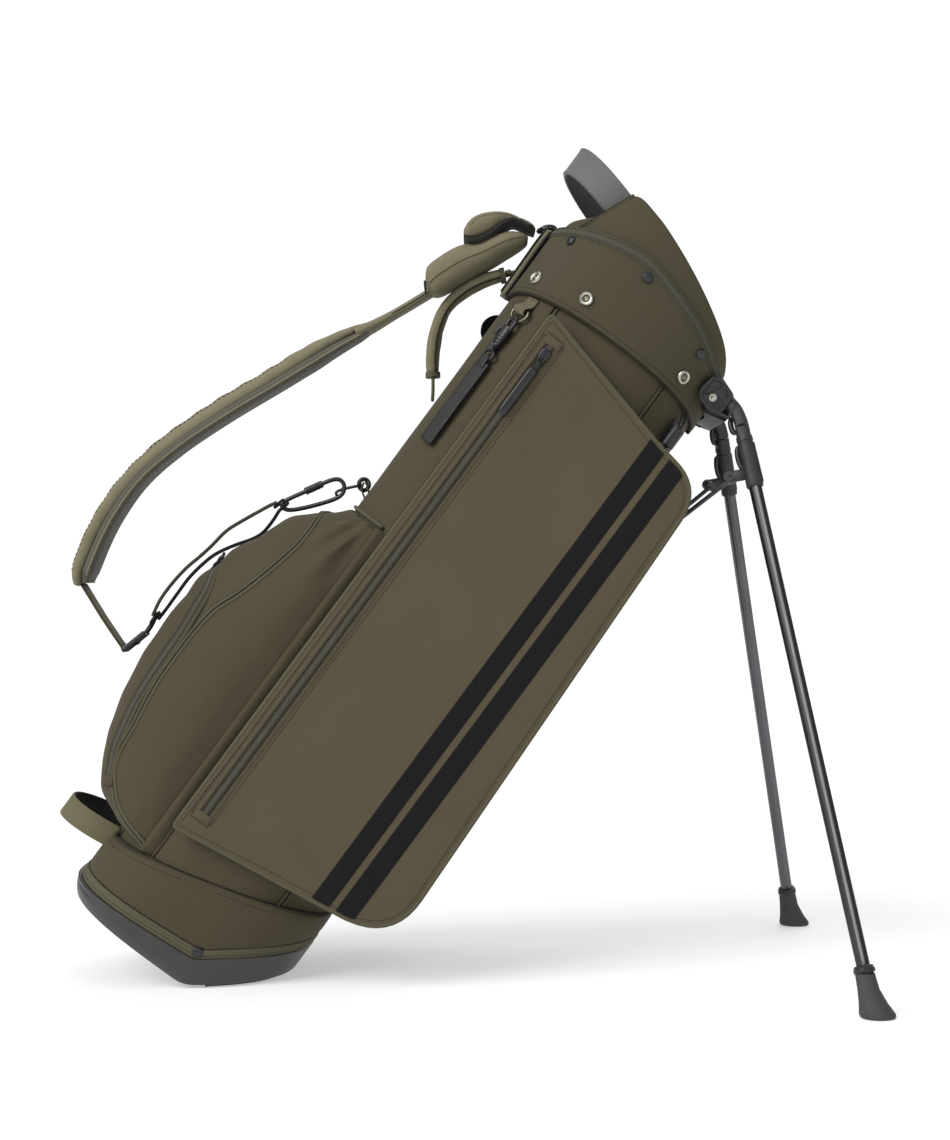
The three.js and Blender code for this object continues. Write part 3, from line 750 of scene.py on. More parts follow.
def hide(name, color):
    """Grained leather with creased cells and waxed high spots."""
    n = Nodes(name)
    at = n.new("ShaderNodeTexCoord").outputs["Object"]
    cells = n.new("ShaderNodeTexVoronoi", feature="DISTANCE_TO_EDGE", Scale=520.0)
    n.join(at, cells.inputs["Vector"])
    grain = n.ramp(cells.outputs["Distance"], 0.0, 0.25, 0.0, 1.0)
    wax = n.noise(at, 60.0, 4.0)
    tint = n.mix(n.ramp(wax, 0.3, 0.7, 0.0, 1.0), shade(color, 0.75), shade(color, 1.4))
    return n.finish(tint, n.ramp(wax, 0.3, 0.7, 0.45, 0.65), n.bump(grain, 0.4, 0.0004))


OLIVE = (0.0585, 0.0492, 0.0272)
CANVAS = cloth("canvas", OLIVE, 0.0009, 0.18)
PANEL = cloth("pocket_canvas", (0.081, 0.067, 0.0405), 0.0009, 0.18, mottle=0.1)
SMOOTH = cloth("smooth_shell", (0.056, 0.0485, 0.0278), 0.0006, 0.08, rough=0.82, mottle=0.06, grain=0.1)
PAD = cloth("pad_canvas", (0.166, 0.150, 0.094), 0.0009, 0.15, mottle=0.1)
# A slightly lighter copy of the pad canvas, for the shoulder strap, its link band and its piping: painted
# light.
PAD_LIGHTER_FOR_STRAP = cloth("pad_canvas_painted_lighter", (0.178, 0.162, 0.104), 0.0009, 0.15, mottle=0.08)
EDGE = webbing("edge_binding", (0.096, 0.087, 0.053), 0.0011)
# Very dark cords: painted shade in the grooves of seams, beside zip coils and under the cuff's lapped edge;
# also the dark piping of the boot, collar and grab handle.
DARK_PIPING_AND_SEAM_SHADE = webbing("dark_piping_and_painted_seam_shade", (0.020, 0.016, 0.009), 0.0011)
TRIM = webbing("trim_tape", (0.066, 0.064, 0.045), 0.0012)
WEB = webbing("olive_webbing", (0.128, 0.115, 0.068), 0.0014)
ZIP_TAPE = webbing("zip_tape", (0.046, 0.045, 0.031), 0.0008)
COIL = moulded("zip_coil", (0.088, 0.088, 0.066), 0.42, 0.1)
BLACK_WEB = webbing("black_webbing", (0.018, 0.018, 0.019), 0.0014)
MESH = webbing("black_mesh", (0.020, 0.020, 0.018), 0.0018, rough=0.9)
STRIPE = webbing("stripe_tape", (0.0055, 0.0055, 0.006), 0.0009, rough=0.85)
LINING = cloth("lining", (0.028, 0.026, 0.022), 0.0009, 0.2)
THREAD = moulded("thread", (0.020, 0.017, 0.010), 0.8, 0.0)
PLASTIC = moulded("moulded_plastic", (0.033, 0.0325, 0.032), 0.4)
TOE_PLASTIC = moulded("toe_plastic", (0.010, 0.010, 0.0105), 0.6)
DARK_PLASTIC = moulded("dark_plastic", (0.021, 0.021, 0.022), 0.58)
GREY_MESH = cloth("grey_mesh", (0.090, 0.086, 0.068), 0.0014, 0.3, mottle=0.06)
BLACK = moulded("black_plastic", (0.013, 0.013, 0.014), 0.38, 0.2)
HANDLE = webbing("handle_webbing", (0.130, 0.133, 0.131), 0.0013, rough=0.5)
HANDLE_BACK = moulded("handle_inside", (0.032, 0.033, 0.034), 0.7, 0.4)
RUBBER = moulded("foot_rubber", (0.040, 0.040, 0.041), 0.72, 0.5)
SILVER = metal("silver", (0.50, 0.475, 0.41, 1), 0.34, 0.1)
# A darker copy of the silver for the screw caps: painted shade that tones down the lamp highlight on their
# faces towards -y.
SILVER_DIMMED = metal("silver_dimmed_for_screw_caps", (0.22, 0.212, 0.185, 1), 0.5, 0.1)
OLD_BRASS = metal("old_brass", (0.22, 0.20, 0.14, 1), 0.35, 0.1)
STEEL = metal("dark_steel", (0.055, 0.056, 0.06, 1), 0.38)
LEG = metal("leg_metal", (0.115, 0.118, 0.125, 1), 0.36, 0.3, 0.08, (0, LEAN, 0))
LEG_BLACK = metal("leg_black", (0.06, 0.062, 0.066, 1), 0.38, 0.3, 0.08, (0, LEAN, 0))
# Light grey for the raised line on the right (near) leg: a painted highlight.
NEAR_LEG_HIGHLIGHT = moulded("leg_line", (0.20, 0.205, 0.21), 0.4, 0.1)
LEATHER = hide("dark_leather", (0.008, 0.0078, 0.0075))
CORD_OLIVE = webbing("cord_olive", (0.055, 0.052, 0.036), 0.0016)
CORD_BLACK = webbing("cord_black", (0.016, 0.016, 0.016), 0.0016)

# ---------------------------------------------------------------- elastic cords
CORD_A = [(-301, 350), (-294, 365), (-281, 383), (-266, 399), (-254, 409), (-243, 419)] + [
    (-227, 435), (-211, 445), (-195, 454), (-184, 460), (-177, 463)
]
CORD_B = [(-298, 346), (-291, 355), (-278, 373), (-266, 389), (-247, 407), (-238, 413)] + [
    (-220, 421), (-203, 427), (-193, 433), (-183, 445), (-176, 456)
]


def elastic_cord(name, route, y, radius, material):
    line, length = smooth_line([floor_axes(x, y, z) for x, z in route], 34)
    curve = bpy.data.curves.new(name + "_lay", "CURVE")
    curve.dimensions = "3D"
    curve.bevel_depth = radius * MM
    curve.bevel_resolution = 4
    spline = curve.splines.new("POLY")
    spline.points.add(len(line) - 1)
    for point, p in zip(spline.points, line):
        point.co = (*p, 1)
    curve.materials.append(material)
    obj = link(bpy.data.objects.new(name + "_lay", curve))
    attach(obj, "root")
    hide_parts(name)
    return obj


elastic_cord("bungee_cord_a", CORD_A, -9, 1.8, CORD_OLIVE)
elastic_cord("bungee_cord_b", CORD_B, 7, 1.8, CORD_BLACK)


# ---------------------------------------------------------------- sewn walls of the tube
def wall(
    name, half, low, high, thick, material, node, power=ROUND, span=(0, 360), steps=96,
    rows=14, roll=1.4, shape=None, ends=0.0,
):
    """A wall round the tube, with rolled edges; shape(b, y, a, up) moves its outside."""
    closed = span[1] - span[0] >= 360
    count = steps if closed else steps + 1
    columns, uvs_along = [], []
    u = 0.0
    last = None
    for i in range(count):
        angle = math.radians(span[0] + (span[1] - span[0]) * i / steps)
        b, y = squircle(angle, half, power)
        if last is not None:
            u += math.hypot(b - last[0], y - last[1])
        last = (b, y)
        n = outward(b, y, half, power)
        lo, hi = low(b, y), high(b, y)
        tall = hi - lo
        heights = [0.0, 0.35, 0.9, 1.8, 3.2]
        heights = [h for h in heights if h < tall * 0.4]
        middle = [heights[-1] + (tall - 2 * heights[-1]) * k / rows for k in range(1, rows)]
        heights = heights + middle + [tall - h for h in reversed(heights)]
        column = []
        for h in heights:
            edge = min(h, tall - h)
            off = -roll * math.exp(-edge / 0.9)
            if ends and not closed:
                off -= ends * math.exp(-min(i, steps - i) / 1.2)
            if shape:
                off += shape(b, y, lo + h, h / tall)
            column.append((b + n.x * off, y + n.y * off, lo + h))
        bi, yi = squircle(angle, grown(half, -thick), power)
        inner = [(bi, yi, hi - roll * 0.3), (bi, yi, (lo + hi) / 2), (bi, yi, lo + roll * 0.3)]
        columns.append(column + inner)
        uvs_along.append(u)
    size = len(columns[0])
    outer = size - 3
    points = [bag(*p) for column in columns for p in column]
    uvs = [(uvs_along[i] * MM, columns[i][j][2] * MM) for i in range(count) for j in range(size)]
    faces, inner_faces = [], []
    for i in range(count if closed else count - 1):
        k = (i + 1) % count
        for j in range(size):
            m = (j + 1) % size
            face = (i * size + j, k * size + j, k * size + m, i * size + m)
            faces.append(face)
            inner_faces.append(j >= outer - 1)
    if not closed:
        faces.append(tuple(range(size)))
        faces.append(tuple((count - 1) * size + j for j in reversed(range(size))))
        inner_faces += [False, False]
    obj = mesh_object(name, points, faces, uvs, "root", None)
    for poly, is_inner in zip(obj.data.polygons, inner_faces):
        poly.material_index = 1 if is_inner else 0
    dress(obj, [material, LINING], [node])
    check = obj.data.polygons[size // 3]
    if check.normal.dot(check.center - axis_point(check.center)) < 0:
        obj.data.flip_normals()
    obj.data.set_sharp_from_angle(angle=math.radians(50))
    return obj


def creases(strength, size, seed, stretch=3.0):
    """Soft long folds that run up the bag."""

    def shape(b, y, a, up):
        fold = waves((b, y, a / stretch), size, seed) + 0.5 * waves((b, y, a / 2), size / 2.3, seed + 5)
        fade = math.sin(math.pi * min(max(up, 0.0), 1.0)) ** 0.5
        return strength * fold * fade

    return shape


def boot_shape(b, y, a, up):
    fold = 0.7 * waves((b, y, a), 45, 3.1)
    return fold * math.sin(math.pi * up) ** 0.5 + 0.5 * math.sin(math.pi * up)


wall(
    "boot_cuff_skin", BOOT, lambda b, y: hem(b) + 10.3, lambda b, y: boot_seam(b) - 0.15, 3,
    CANVAS, "boot_cuff", SQUARE, steps=112, rows=12, roll=1.6, shape=boot_shape,
)


def groove(up, at, width):
    """A sunk line across a 10 mm tape, width in mm, at a share of the tape's height."""
    return -math.exp(-(((up - at) * 10 / width) ** 2))


def trim_shape(b, y, a, up):
    return 0.9 * groove(up, 0.32, 0.7) + 0.5 * groove(up, 0.75, 0.6)


wall(
    "base_trim_tape", grown(BOOT, 1), lambda b, y: hem(b) + 0.3, lambda b, y: hem(b) + 10, 4,
    EDGE, "base_trim", SQUARE, steps=128, rows=18, roll=0.9, shape=trim_shape,
)

NUDGE = 0.12
TUBE_PANELS = {}
for node, start, end, seed in (
    ("belly_panel", -SEAM_ANGLE, SEAM_ANGLE, 1.7),
    ("left_panel", SEAM_ANGLE, 180 - SEAM_ANGLE, 2.9),
    ("spine_panel", 180 - SEAM_ANGLE, 180 + SEAM_ANGLE, 4.3),
    ("right_panel", 180 + SEAM_ANGLE, 360 - SEAM_ANGLE, 6.1),
):
    TUBE_PANELS[node] = wall(
        node + "_skin", BODY, lambda b, y: boot_seam(b) - 7,
        lambda b, y: collar_seam(b, y) + 7, 3, CANVAS, node,
        span=(start + NUDGE, end - NUDGE), steps=30, rows=60, roll=1.6,
        shape=creases(0.9, 60, seed), ends=0.9,
    )


def collar_shape(b, y, a, up):
    return 0.45 * waves((b, y, a), 55, 8.2) * math.sin(math.pi * up) ** 0.5


wall(
    "collar_skin", COLLAR, collar_seam, lambda b, y: top_seam(b) - 3, 4, SMOOTH,
    "collar_shell", steps=128, rows=14, roll=1.6, shape=collar_shape,
)


def collar_trim_shape(b, y, a, up):
    return 0.55 * groove(up, 0.2, 0.5) + 0.55 * groove(up, 0.8, 0.5)


wall(
    "collar_trim_tape", grown(COLLAR, 1.5), lambda b, y: top_seam(b) - 5,
    lambda b, y: top_seam(b) + 5, 5.5, TRIM, "collar_trim",
    steps=128, rows=18, roll=0.8, shape=collar_trim_shape,
)


def rim_overlap(a):
    """Where the front cuff's slanted edge crosses height a, as b."""
    return -86 + (a - 842) * 0.46


def rim_shape(b, y, a, up):
    fold = 0.7 * waves((b, y, a), 42, 5.5)
    back = 1.6 if b < rim_overlap(a) - 1 else 0.0
    foot = 1.5 * max(0.0, 1 - up / 0.16)
    return foot + fold * math.sin(math.pi * up) ** 0.4 - back - 25 * max(0.0, up - 0.8) ** 2


RIM_CUFF = wall(
    "rim_cuff_skin", RIM, lambda b, y: top_seam(b) - 4, lambda b, y: rim_edge(b), 7, SMOOTH,
    "rim_cuff", steps=200, rows=16, roll=2.0, shape=rim_shape,
)


for word, side in SIDES:
    line, normals = [], []
    for a in np.linspace(829, 882, 40):
        b = rim_overlap(a)
        y = side_y(b, side, grown(RIM, 0.1))
        n = outward(b, y, RIM, ROUND)
        line.append(bag(b, y, a))
        normals.append(turned(n.x, n.y, 0))
    strip(f"{word}_rim_lap", line, circle(0.9, 8), EDGE, "smooth_shell", normal=normals)
    # A dark cord just behind the lapped edge: painted shadow under the overlap.
    shadow = [p + turned(-1, 0, 0) * 1.3 * MM for p in line]
    strip(f"{word}_rim_lap_gap", shadow, circle(0.6, 6), DARK_PIPING_AND_SEAM_SHADE, "smooth_shell", normal=normals)


# Piping and thread round the tube, on the skins.
def round_tube(half, height, off, power, steps):
    """A line round the tube's skin at height(b, y), with the skin's normals."""
    line, normals = [], []
    for i in range(steps + 1):
        b, y = squircle(math.radians(360 * i / steps), grown(half, off), power)
        n = outward(b, y, half, power)
        line.append(bag(b, y, height(b, y)))
        normals.append(turned(n.x, n.y, 0))
    return line, normals


def around(name, half, height, off, radius, material, slot, power=ROUND):
    line, normals = round_tube(half, height, off, power, 120)
    strip(name, line, circle(radius, 8), material, slot, normal=normals)


around(
    "boot_piping", BODY, lambda b, y: boot_seam(b) + 2.3, 0.5, 0.9, DARK_PIPING_AND_SEAM_SHADE, "coated_canvas",
)
around(
    "collar_piping", COLLAR, lambda b, y: collar_seam(b, y) - 0.6, -1.2, 1.2, DARK_PIPING_AND_SEAM_SHADE,
    "smooth_shell",
)


def around_stitches(name, half, height, off, material, power=ROUND):
    line, normals = round_tube(half, height, off, power, 240)
    threaded(name, line, normals, (3.4, 2.4, 0.7, 0.35), material)


def boot_shoulder():
    """The boot's folded top, drawn in to the tube."""
    count = 128
    section = [(-0.03, -1.2), (0.0, 0.0), (0.12, 0.7), (0.35, 1.2), (0.7, 1.5), (1.0, 1.6)]
    section += [(1.35, 1.2), (1.35, -3)]
    rings = []
    for t, rise in section:
        ring = []
        for i in range(count):
            angle = 2 * math.pi * i / count
            bo, yo = squircle(angle, grown(BOOT, -0.9), SQUARE)
            bi, yi = squircle(angle, grown(BODY, 0.8), ROUND)
            b, y = bo + (bi - bo) * t, yo + (yi - yo) * t
            ring.append(bag(b, y, boot_seam(b) + rise))
        rings.append(ring)
    points, numbers = numbered(rings)
    obj = mesh_object("boot_shoulder", points, loft(numbers, closed_loop=True))
    fix_outward(obj)
    dress(obj, CANVAS)


boot_shoulder()
around_stitches("trim_stitches", grown(BOOT, 1), lambda b, y: hem(b) + 3.4, -0.6, EDGE, SQUARE)
around_stitches(
    "trim_upper_stitches", grown(BOOT, 1), lambda b, y: hem(b) + 7.8, -0.3, EDGE,
    SQUARE,
)
around_stitches(
    "boot_stitches", BOOT, lambda b, y: boot_seam(b) - 4.5, 0.15, THREAD, SQUARE,
)
around_stitches(
    "collar_low_stitches", COLLAR, lambda b, y: collar_seam(b, y) + 4.5, 0.05, THREAD,
)
around_stitches(
    "collar_tape_stitches", grown(COLLAR, 1.5), lambda b, y: top_seam(b) - 3.1, -0.2, THREAD,
)
around_stitches(
    "collar_tape_upper_stitches", grown(COLLAR, 1.5), lambda b, y: top_seam(b) + 3.1, -0.2, THREAD,
)


# ---------------------------------------------------------------- puffed pads
CLOTH_FRAMES = 20


def baked(obj):
    """Applies the object's modifiers to its mesh, shaded smooth."""
    seen = obj.evaluated_get(bpy.context.evaluated_depsgraph_get())
    made = bpy.data.meshes.new_from_object(seen)
    obj.modifiers.clear()
    obj.data = made
    made.polygons.foreach_set("use_smooth", [True] * len(made.polygons))
    return made


def places_of(mesh):
    """The mesh's points as an array of rows."""
    flat = np.zeros(len(mesh.vertices) * 3, np.float32)
    mesh.vertices.foreach_get("co", flat)
    return flat.reshape(-1, 3)


def puffed(obj, voxel, pressure, cap, hold=None, shrink=0.0):
    """Remeshes a closed form and inflates it as sewn cloth; no point moves further than cap, in mm.

    hold(point) is the share of its move that a point makes.
    """
    if shrink:
        moved(obj, lambda p: -shrink)
    remesh = obj.modifiers.new("remesh", "REMESH")
    remesh.mode = "VOXEL"
    remesh.voxel_size = voxel * MM
    remesh.use_smooth_shade = True
    made = baked(obj)
    rest = places_of(made)
    fabric = obj.modifiers.new("cloth", "CLOTH")
    settings = fabric.settings
    settings.quality = 5
    settings.mass = 0.25
    settings.use_pressure = True
    settings.uniform_pressure_force = pressure
    settings.effector_weights.gravity = 0.0
    settings.tension_stiffness = settings.compression_stiffness = 25
    settings.bending_stiffness = 0.6
    fabric.collision_settings.use_collision = False
    scene = bpy.context.scene
    for step in range(1, CLOTH_FRAMES + 1):
        scene.frame_set(step)
    bpy.context.view_layer.update()
    blown = places_of(obj.evaluated_get(bpy.context.evaluated_depsgraph_get()).data)
    obj.modifiers.clear()
    scene.frame_set(1)
    move = blown - rest
    move -= move.mean(axis=0)
    size = np.linalg.norm(move, axis=1, keepdims=True)
    move *= np.minimum(1.0, cap * MM / np.maximum(size, 1e-9))
    if hold is not None:
        move *= np.array([hold(Vector(p)) for p in rest])[:, None]
    made.vertices.foreach_set("co", (rest + move).astype(np.float32).ravel())
    made.update()


def moved(obj, shift):
    """Moves each point along its normal by shift(point), in mm."""
    mesh = obj.data
    normals = [v.normal.copy() for v in mesh.vertices]
    for vert, n in zip(mesh.vertices, normals):
        vert.co += n * shift(vert.co) * MM
    mesh.update()


def smoothed(obj):
    m = obj.modifiers.new("smooth", "SMOOTH")
    m.factor = 0.5
    m.iterations = 1
    baked(obj)


# ---------------------------------------------------------------- ball pocket
pocket_outer = curve_through(
    [(96, 116), (111, 142), (154, 168), (210, 184), (281, 190), (344, 185), (400, 167)]
    + [(458, 135), (484, 111)]
)


def ball_rings():
    rings = []
    for level in (96, 103, 115, 135, 160, 200, 245, 290, 335, 375, 410, 440, 464, 482):
        ring = []
        reach = pocket_outer(level) - SEAM_B
        fade = min(1, (level - 60) / 60, (540 - level) / 110)
        for i in range(37):
            turn = math.pi / 2 + math.pi * i / 36
            b, y = squircle(turn, (reach, 88 + 8 * fade), 2.3)
            ring.append((-SEAM_B - 2 + b, y, level))
        for i in range(25):
            angle = math.radians(180 + (SEAM_ANGLE - 4) * (1 - 2 * i / 24))
            b, y = squircle(angle, grown(BODY, -1.2), ROUND)
            ring.append((b, y, level))
        rings.append(ring)
    for k, ring in enumerate(rings[:3]):
        lift = 0.12 if k == 0 else 0.072
        rings[k] = [(b, y, a + lift * (b + 110)) for b, y, a in ring]
    return [[bag(*p) for p in ring] for ring in rings]


BALL = lofted("ball_pocket_skin", ball_rings())


def off_the_tube(p):
    q = TO_BAG @ p / MM
    b, y = q.x, q.y
    away = ((abs(b) / BODY[0]) ** ROUND + (abs(y) / BODY[1]) ** ROUND) ** (1 / ROUND)
    return min(1.0, max(0.0, (away - 1.03) / 0.12))


puffed(BALL, 5, 4.0, 6, off_the_tube, shrink=2.0)


def pocket_folds(p):
    q = TO_BAG @ p / MM
    b, y, a = q
    free = off_the_tube(p)
    soft = 1.5 * waves((b, y, a / 2), 70, 2.2) + 0.6 * waves((b, y, a), 26, 7.7)
    near_top = max(0.0, min(1.0, (a - 395) / 50))
    rays = math.atan2(a - 500, b + 66 + 0.2 * abs(y))
    gather = 4.4 * math.sin(rays * 17) * near_top * max(0.0, min(1.0, (135 + b) / 40))
    knee = 3.5 * math.exp(-(((b + 152) / 15) ** 2) - ((a - 436) / 15) ** 2)
    pull = 2.4 * math.exp(-(((b + 188) / 22) ** 2)) * math.sin((a + 0.6 * abs(y)) / 7.5) * max(
        0.0, min(1.0, (a - 300) / 40)
    )
    lower = max(0.0, min(1.0, (160 - a) / 60))
    heel = 0.9 * math.sin(abs(y) / 6.5) * lower
    return free * (soft + gather + heel + knee + pull)


moved(BALL, pocket_folds)
smoothed(BALL)
subdivide(BALL)
dress(BALL, CANVAS, ["ball_pocket"])
POCKET = surface_of(BALL)

FRONT_SEAM = [
    (-128.2, 51.3, 457.5), (-126.4, 74.4, 430.5), (-134.4, 78.6, 388.6), (-145.0, 76.8, 350.9),
    (-155.5, 71.7, 320.3), (-157.9, 71.0, 286.1), (-158.2, 70.2, 257.0), (-155.7, 70.0, 222.8),
    (-150.7, 70.2, 189.3), (-146.5, 67.2, 156.1), (-138.8, 68.2, 137.8), (-121.7, 77.1, 120.6),
    (-104.4, 86.3, 112.0), (-83.1, 92.3, 106.0), (-66, 93.5, 103.5),
]
ZIP_ROUTE = [
    (-186.0, 10.0, 356.0), (-182.0, 34.0, 348.0), (-175.0, 49.9, 334.0), (-168.6, 60.3, 298.2),
    (-166.6, 62.0, 250.3), (-163.1, 60.5, 203.8), (-154.5, 60.2, 161.4), (-139.8, 62.2, 129.2),
]


def on_side(points, side):
    return [bag(b, y * side, a) for b, y, a in points]


def shifted(line, normals, by):
    return [p + side * by * MM for p, (_, side, _) in zip(line, frames_along(line, normals))]


RIDGE_OFFSET, RIDGE_RADIUS = 2.3, 1.55


def piped_seam(name, line, normals):
    """Two piped ridges with a dark cord between them, painted shade in the seam's groove."""
    for k, by in ((1, -RIDGE_OFFSET), (2, RIDGE_OFFSET)):
        beside = shifted(line, normals, by)
        strip(f"{name}_{k}", beside, circle(RIDGE_RADIUS, 10), EDGE, "coated_canvas", normal=normals)
    strip(f"{name}_gap", line, circle(1.0, 6), DARK_PIPING_AND_SEAM_SHADE, "coated_canvas", normal=normals)


for word, side in SIDES:
    line, normals = laid(POCKET, on_side(FRONT_SEAM, side), 150, 0.2)
    piped_seam(f"{word}_ball_seam", line, normals)
    beside = shifted(line, normals, 4.6)
    threaded(f"{word}_ball_seam_stitches", beside, normals, (3.4, 2.3, 0.7, 0.35))

    line, normals = laid(POCKET, on_side(ZIP_ROUTE, side), 130, 0.1)
    welt = mirrored([(-10.5, -0.6), (-10.5, 0.8), (-9.7, 1.5), (-6.0, 1.5), (-5.2, 0.5), (-3.0, 0.45)])
    strip(f"{word}_ball_zip_welt", line, welt, CANVAS, "coated_canvas", normal=normals, sharp=60)
    cover = [(-4.9, 0.3), (-4.7, 0.95), (-0.5, 1.15), (0, 0.85), (0.5, 1.15), (4.7, 0.95), (4.9, 0.3)]
    strip(f"{word}_ball_zip_tape", line, cover, ZIP_TAPE, "zip_tape", normal=normals)
    ribs = ticks(line, normals, 1.5, 4.6, 1.2, 1.5, across=True)
    dress(joined(f"{word}_ball_zip_coil", ribs), COIL)
    # Dark cords either side of the coil: painted shade where the tape meets the welt.
    for k, by in ((1, -5.1), (2, 5.1)):
        strip(
            f"{word}_ball_zip_gap_{k}",
            [p + n * 0.5 * MM for p, n in zip(shifted(line, normals, by), normals)],
            circle(0.65, 6), DARK_PIPING_AND_SEAM_SHADE, "zip_tape", normal=normals,
        )
    threads = []
    for by in (-8.2, 8.2):
        threads += ticks(
            [p + n * 1.0 * MM for p, n in zip(shifted(line, normals, by), normals)],
            normals, 3.2, 2.2, 0.7, 0.4,
        )
    dress(joined(f"{word}_ball_zip_stitches", threads), THREAD)
    end = line[-1]
    patch = [end + (line[-2] - end).normalized() * (k * 2.2 * MM) for k in (-2.0, -0.6, 1.2, 2.6)]
    strip(f"{word}_ball_zip_end", patch, band(21, 2.0), CANVAS, "coated_canvas", normal=normals[-1])

# The seam over the pocket's top, its tab, and the black puller knot of the zip.
line, normals = laid(
    POCKET, [bag(-128.2, y, 457.5 + 6 * (1 - (y / 51.3) ** 2)) for y in range(-50, 51, 10)], 60,
    0.3,
)
piped_seam("ball_top_seam", line, normals)
top_rim = []
for i in range(41):
    angle = math.radians(180 - (SEAM_ANGLE - 6) + 2 * (SEAM_ANGLE - 6) * i / 40)
    b, y = squircle(angle, grown(BODY, 1.2), ROUND)
    top_rim.append(bag(b, y, 483.5))
rim_normals = [(p - axis_point(p)).normalized() for p in top_rim]
strip("ball_top_piping", top_rim, circle(1.8, 10), EDGE, "coated_canvas", normal=rim_normals)

knot = []
centre, up_here, _, _ = POCKET.find_nearest(bag(-192, 0, 362))
for i in range(26):
    t = i / 25 * 4 * math.pi
    knot.append(
        centre + up_here * (3.2 + 1.6 * math.sin(1.5 * t)) * MM
        + ACROSS * (5.5 * math.sin(t)) * MM
        + turned(0, 0, 1) * (6.0 * math.cos(t * 0.5) + 2 * math.sin(2 * t)) * MM
    )
line = through(knot, 120)
strip("ball_zip_knot", line, circle(1.5, 8), BLACK, "black_plastic")
pull = [
    centre + up_here * 4 * MM + turned(0, 0, -1) * (2 + 5 * k) * MM + up_here * (0.6 * k) * MM
    for k in range(4)
]
strip("ball_zip_pull", pull, slab(5, 2.2), BLACK, "black_plastic", normal=up_here)

# The pocket's sides run into the tube's side seams.
for word, side in SIDES:
    rings = []
    for a in np.linspace(101, 480, 70):
        wide = 88 + 8 * min(1, (a - 60) / 60, (540 - a) / 110)
        soft = 0.7 * waves((a, side * 9, 0), 32, 3.9)
        section = [(-76, wide - 0.4), (-71, wide + 0.1 + soft), (-66.5, wide - 0.6 + soft)]
        section += [(-62.4, 93.0), (-61.2, 91.6), (-62, 89.6), (-70, 87.4), (-78, 86)]
        rings.append([bag(b, side * y, a + 0.12 * (b + 62) * (a < 120)) for b, y in section])
    dress(lofted(f"{word}_ball_flange", rings), CANVAS)

# ---------------------------------------------------------------- side seams of the tube
SEAM_LENGTH = 616
for word, side in SIDES:
    for place, b in (("spine", -SEAM_B), ("belly", SEAM_B)):
        for k, extra in ((1, 0.0), (2, 4.2)):
            bb = b - math.copysign(0.4 - extra, -b) if b > 0 else b - extra + 0.4
            y = side_y(bb, side, grown(BODY, 0.2))
            n = outward(bb, y, BODY, ROUND)
            start = boot_seam(bb) + 0.4
            stop = collar_seam(bb, y) - 0.6
            line = [bag(bb, y, start + (stop - start) * i / 90) for i in range(91)]
            normals = [turned(n.x, n.y, 0)] * len(line)
            strip(
                f"{word}_{place}_piping_{k}", line, circle(1.35, 8), CANVAS, "coated_canvas",
                normal=normals,
            )
        # A dark cord between the two pipings: painted shade in the seam's groove.
        mid = b + (-1.7 if b < 0 else 1.7)
        y = side_y(mid, side, grown(BODY, 0.1))
        n = outward(mid, y, BODY, ROUND)
        line = [bag(mid, y, boot_seam(mid) + 2 + SEAM_LENGTH * i / 60) for i in range(61)]
        strip(
            f"{word}_{place}_seam_gap", line, circle(0.95, 6), DARK_PIPING_AND_SEAM_SHADE, "coated_canvas",
            normal=[turned(n.x, n.y, 0)] * 61,
        )


# ---------------------------------------------------------------- side pockets
def rounded_outline(corners, steps=9):
    out = []
    for i, (x, y, r) in enumerate(corners):
        here = Vector((x, y))
        before = Vector(corners[i - 1][:2])
        after = Vector(corners[(i + 1) % len(corners)][:2])
        start = here + (before - here).normalized() * r
        stop = here + (after - here).normalized() * r
        if r == 0:
            out.append(here)
            continue
        for j in range(steps + 1):
            t = j / steps
            out.append(start * (1 - t) ** 2 + here * 2 * t * (1 - t) + stop * t * t)
    return out


POCKET_CORNERS = [
    (-SEAM_B, 141, 4), (118, 167, 0), (168, 178, 46), (149, 692, 36), (94, 701, 0),
    (-SEAM_B, 740, 4),
]
OUTLINE = rounded_outline(POCKET_CORNERS)


def dense(outline, step=9.0):
    out = []
    for p, q in zip(outline, outline[1:] + outline[:1]):
        parts = max(1, round((q - p).length / step))
        out += [p.lerp(q, k / parts) for k in range(parts)]
    return out


RIM_LINE = dense(OUTLINE)
RIM_X = np.array([[p.x, p.y] for p in RIM_LINE])
RIM_NEXT = np.roll(RIM_X, -1, axis=0)


def from_edge(b, a):
    """Distance from the pocket's outline, in mm."""
    p = np.array([b, a])
    d = RIM_NEXT - RIM_X
    t = np.clip(((p - RIM_X) * d).sum(1) / (d * d).sum(1), 0, 1)
    return float(np.linalg.norm(RIM_X + d * t[:, None] - p, axis=1).min())


PANEL_IN, PANEL_EDGE = 112.6, 116.6
STITCH_INSET = 5.4


def panel_face(b, a):
    """How far the pocket's face stands from the bag's middle plane, in mm."""
    d = from_edge(b, a)
    crown = 2.6 * (1 - math.exp(-d / 16))
    fold = 1.2 * waves((b, 0, a / 2), 95, 3.3) + 0.5 * waves((b + a * 0.3, 0, a), 34, 9.1)
    low_fold = 0.8 * math.exp(-(((a - 190 - 0.1 * b) / 14) ** 2)) * math.sin(b / 13)
    return PANEL_EDGE + crown + (fold + low_fold) * min(1, d / 40)


def panel_span(b):
    """Lowest and highest a of the outline at b."""
    hits = []
    for p, q in zip(RIM_X, RIM_NEXT):
        if (p[0] - b) * (q[0] - b) <= 0 and p[0] != q[0]:
            hits.append(p[1] + (q[1] - p[1]) * (b - p[0]) / (q[0] - p[0]))
    return min(hits), max(hits)


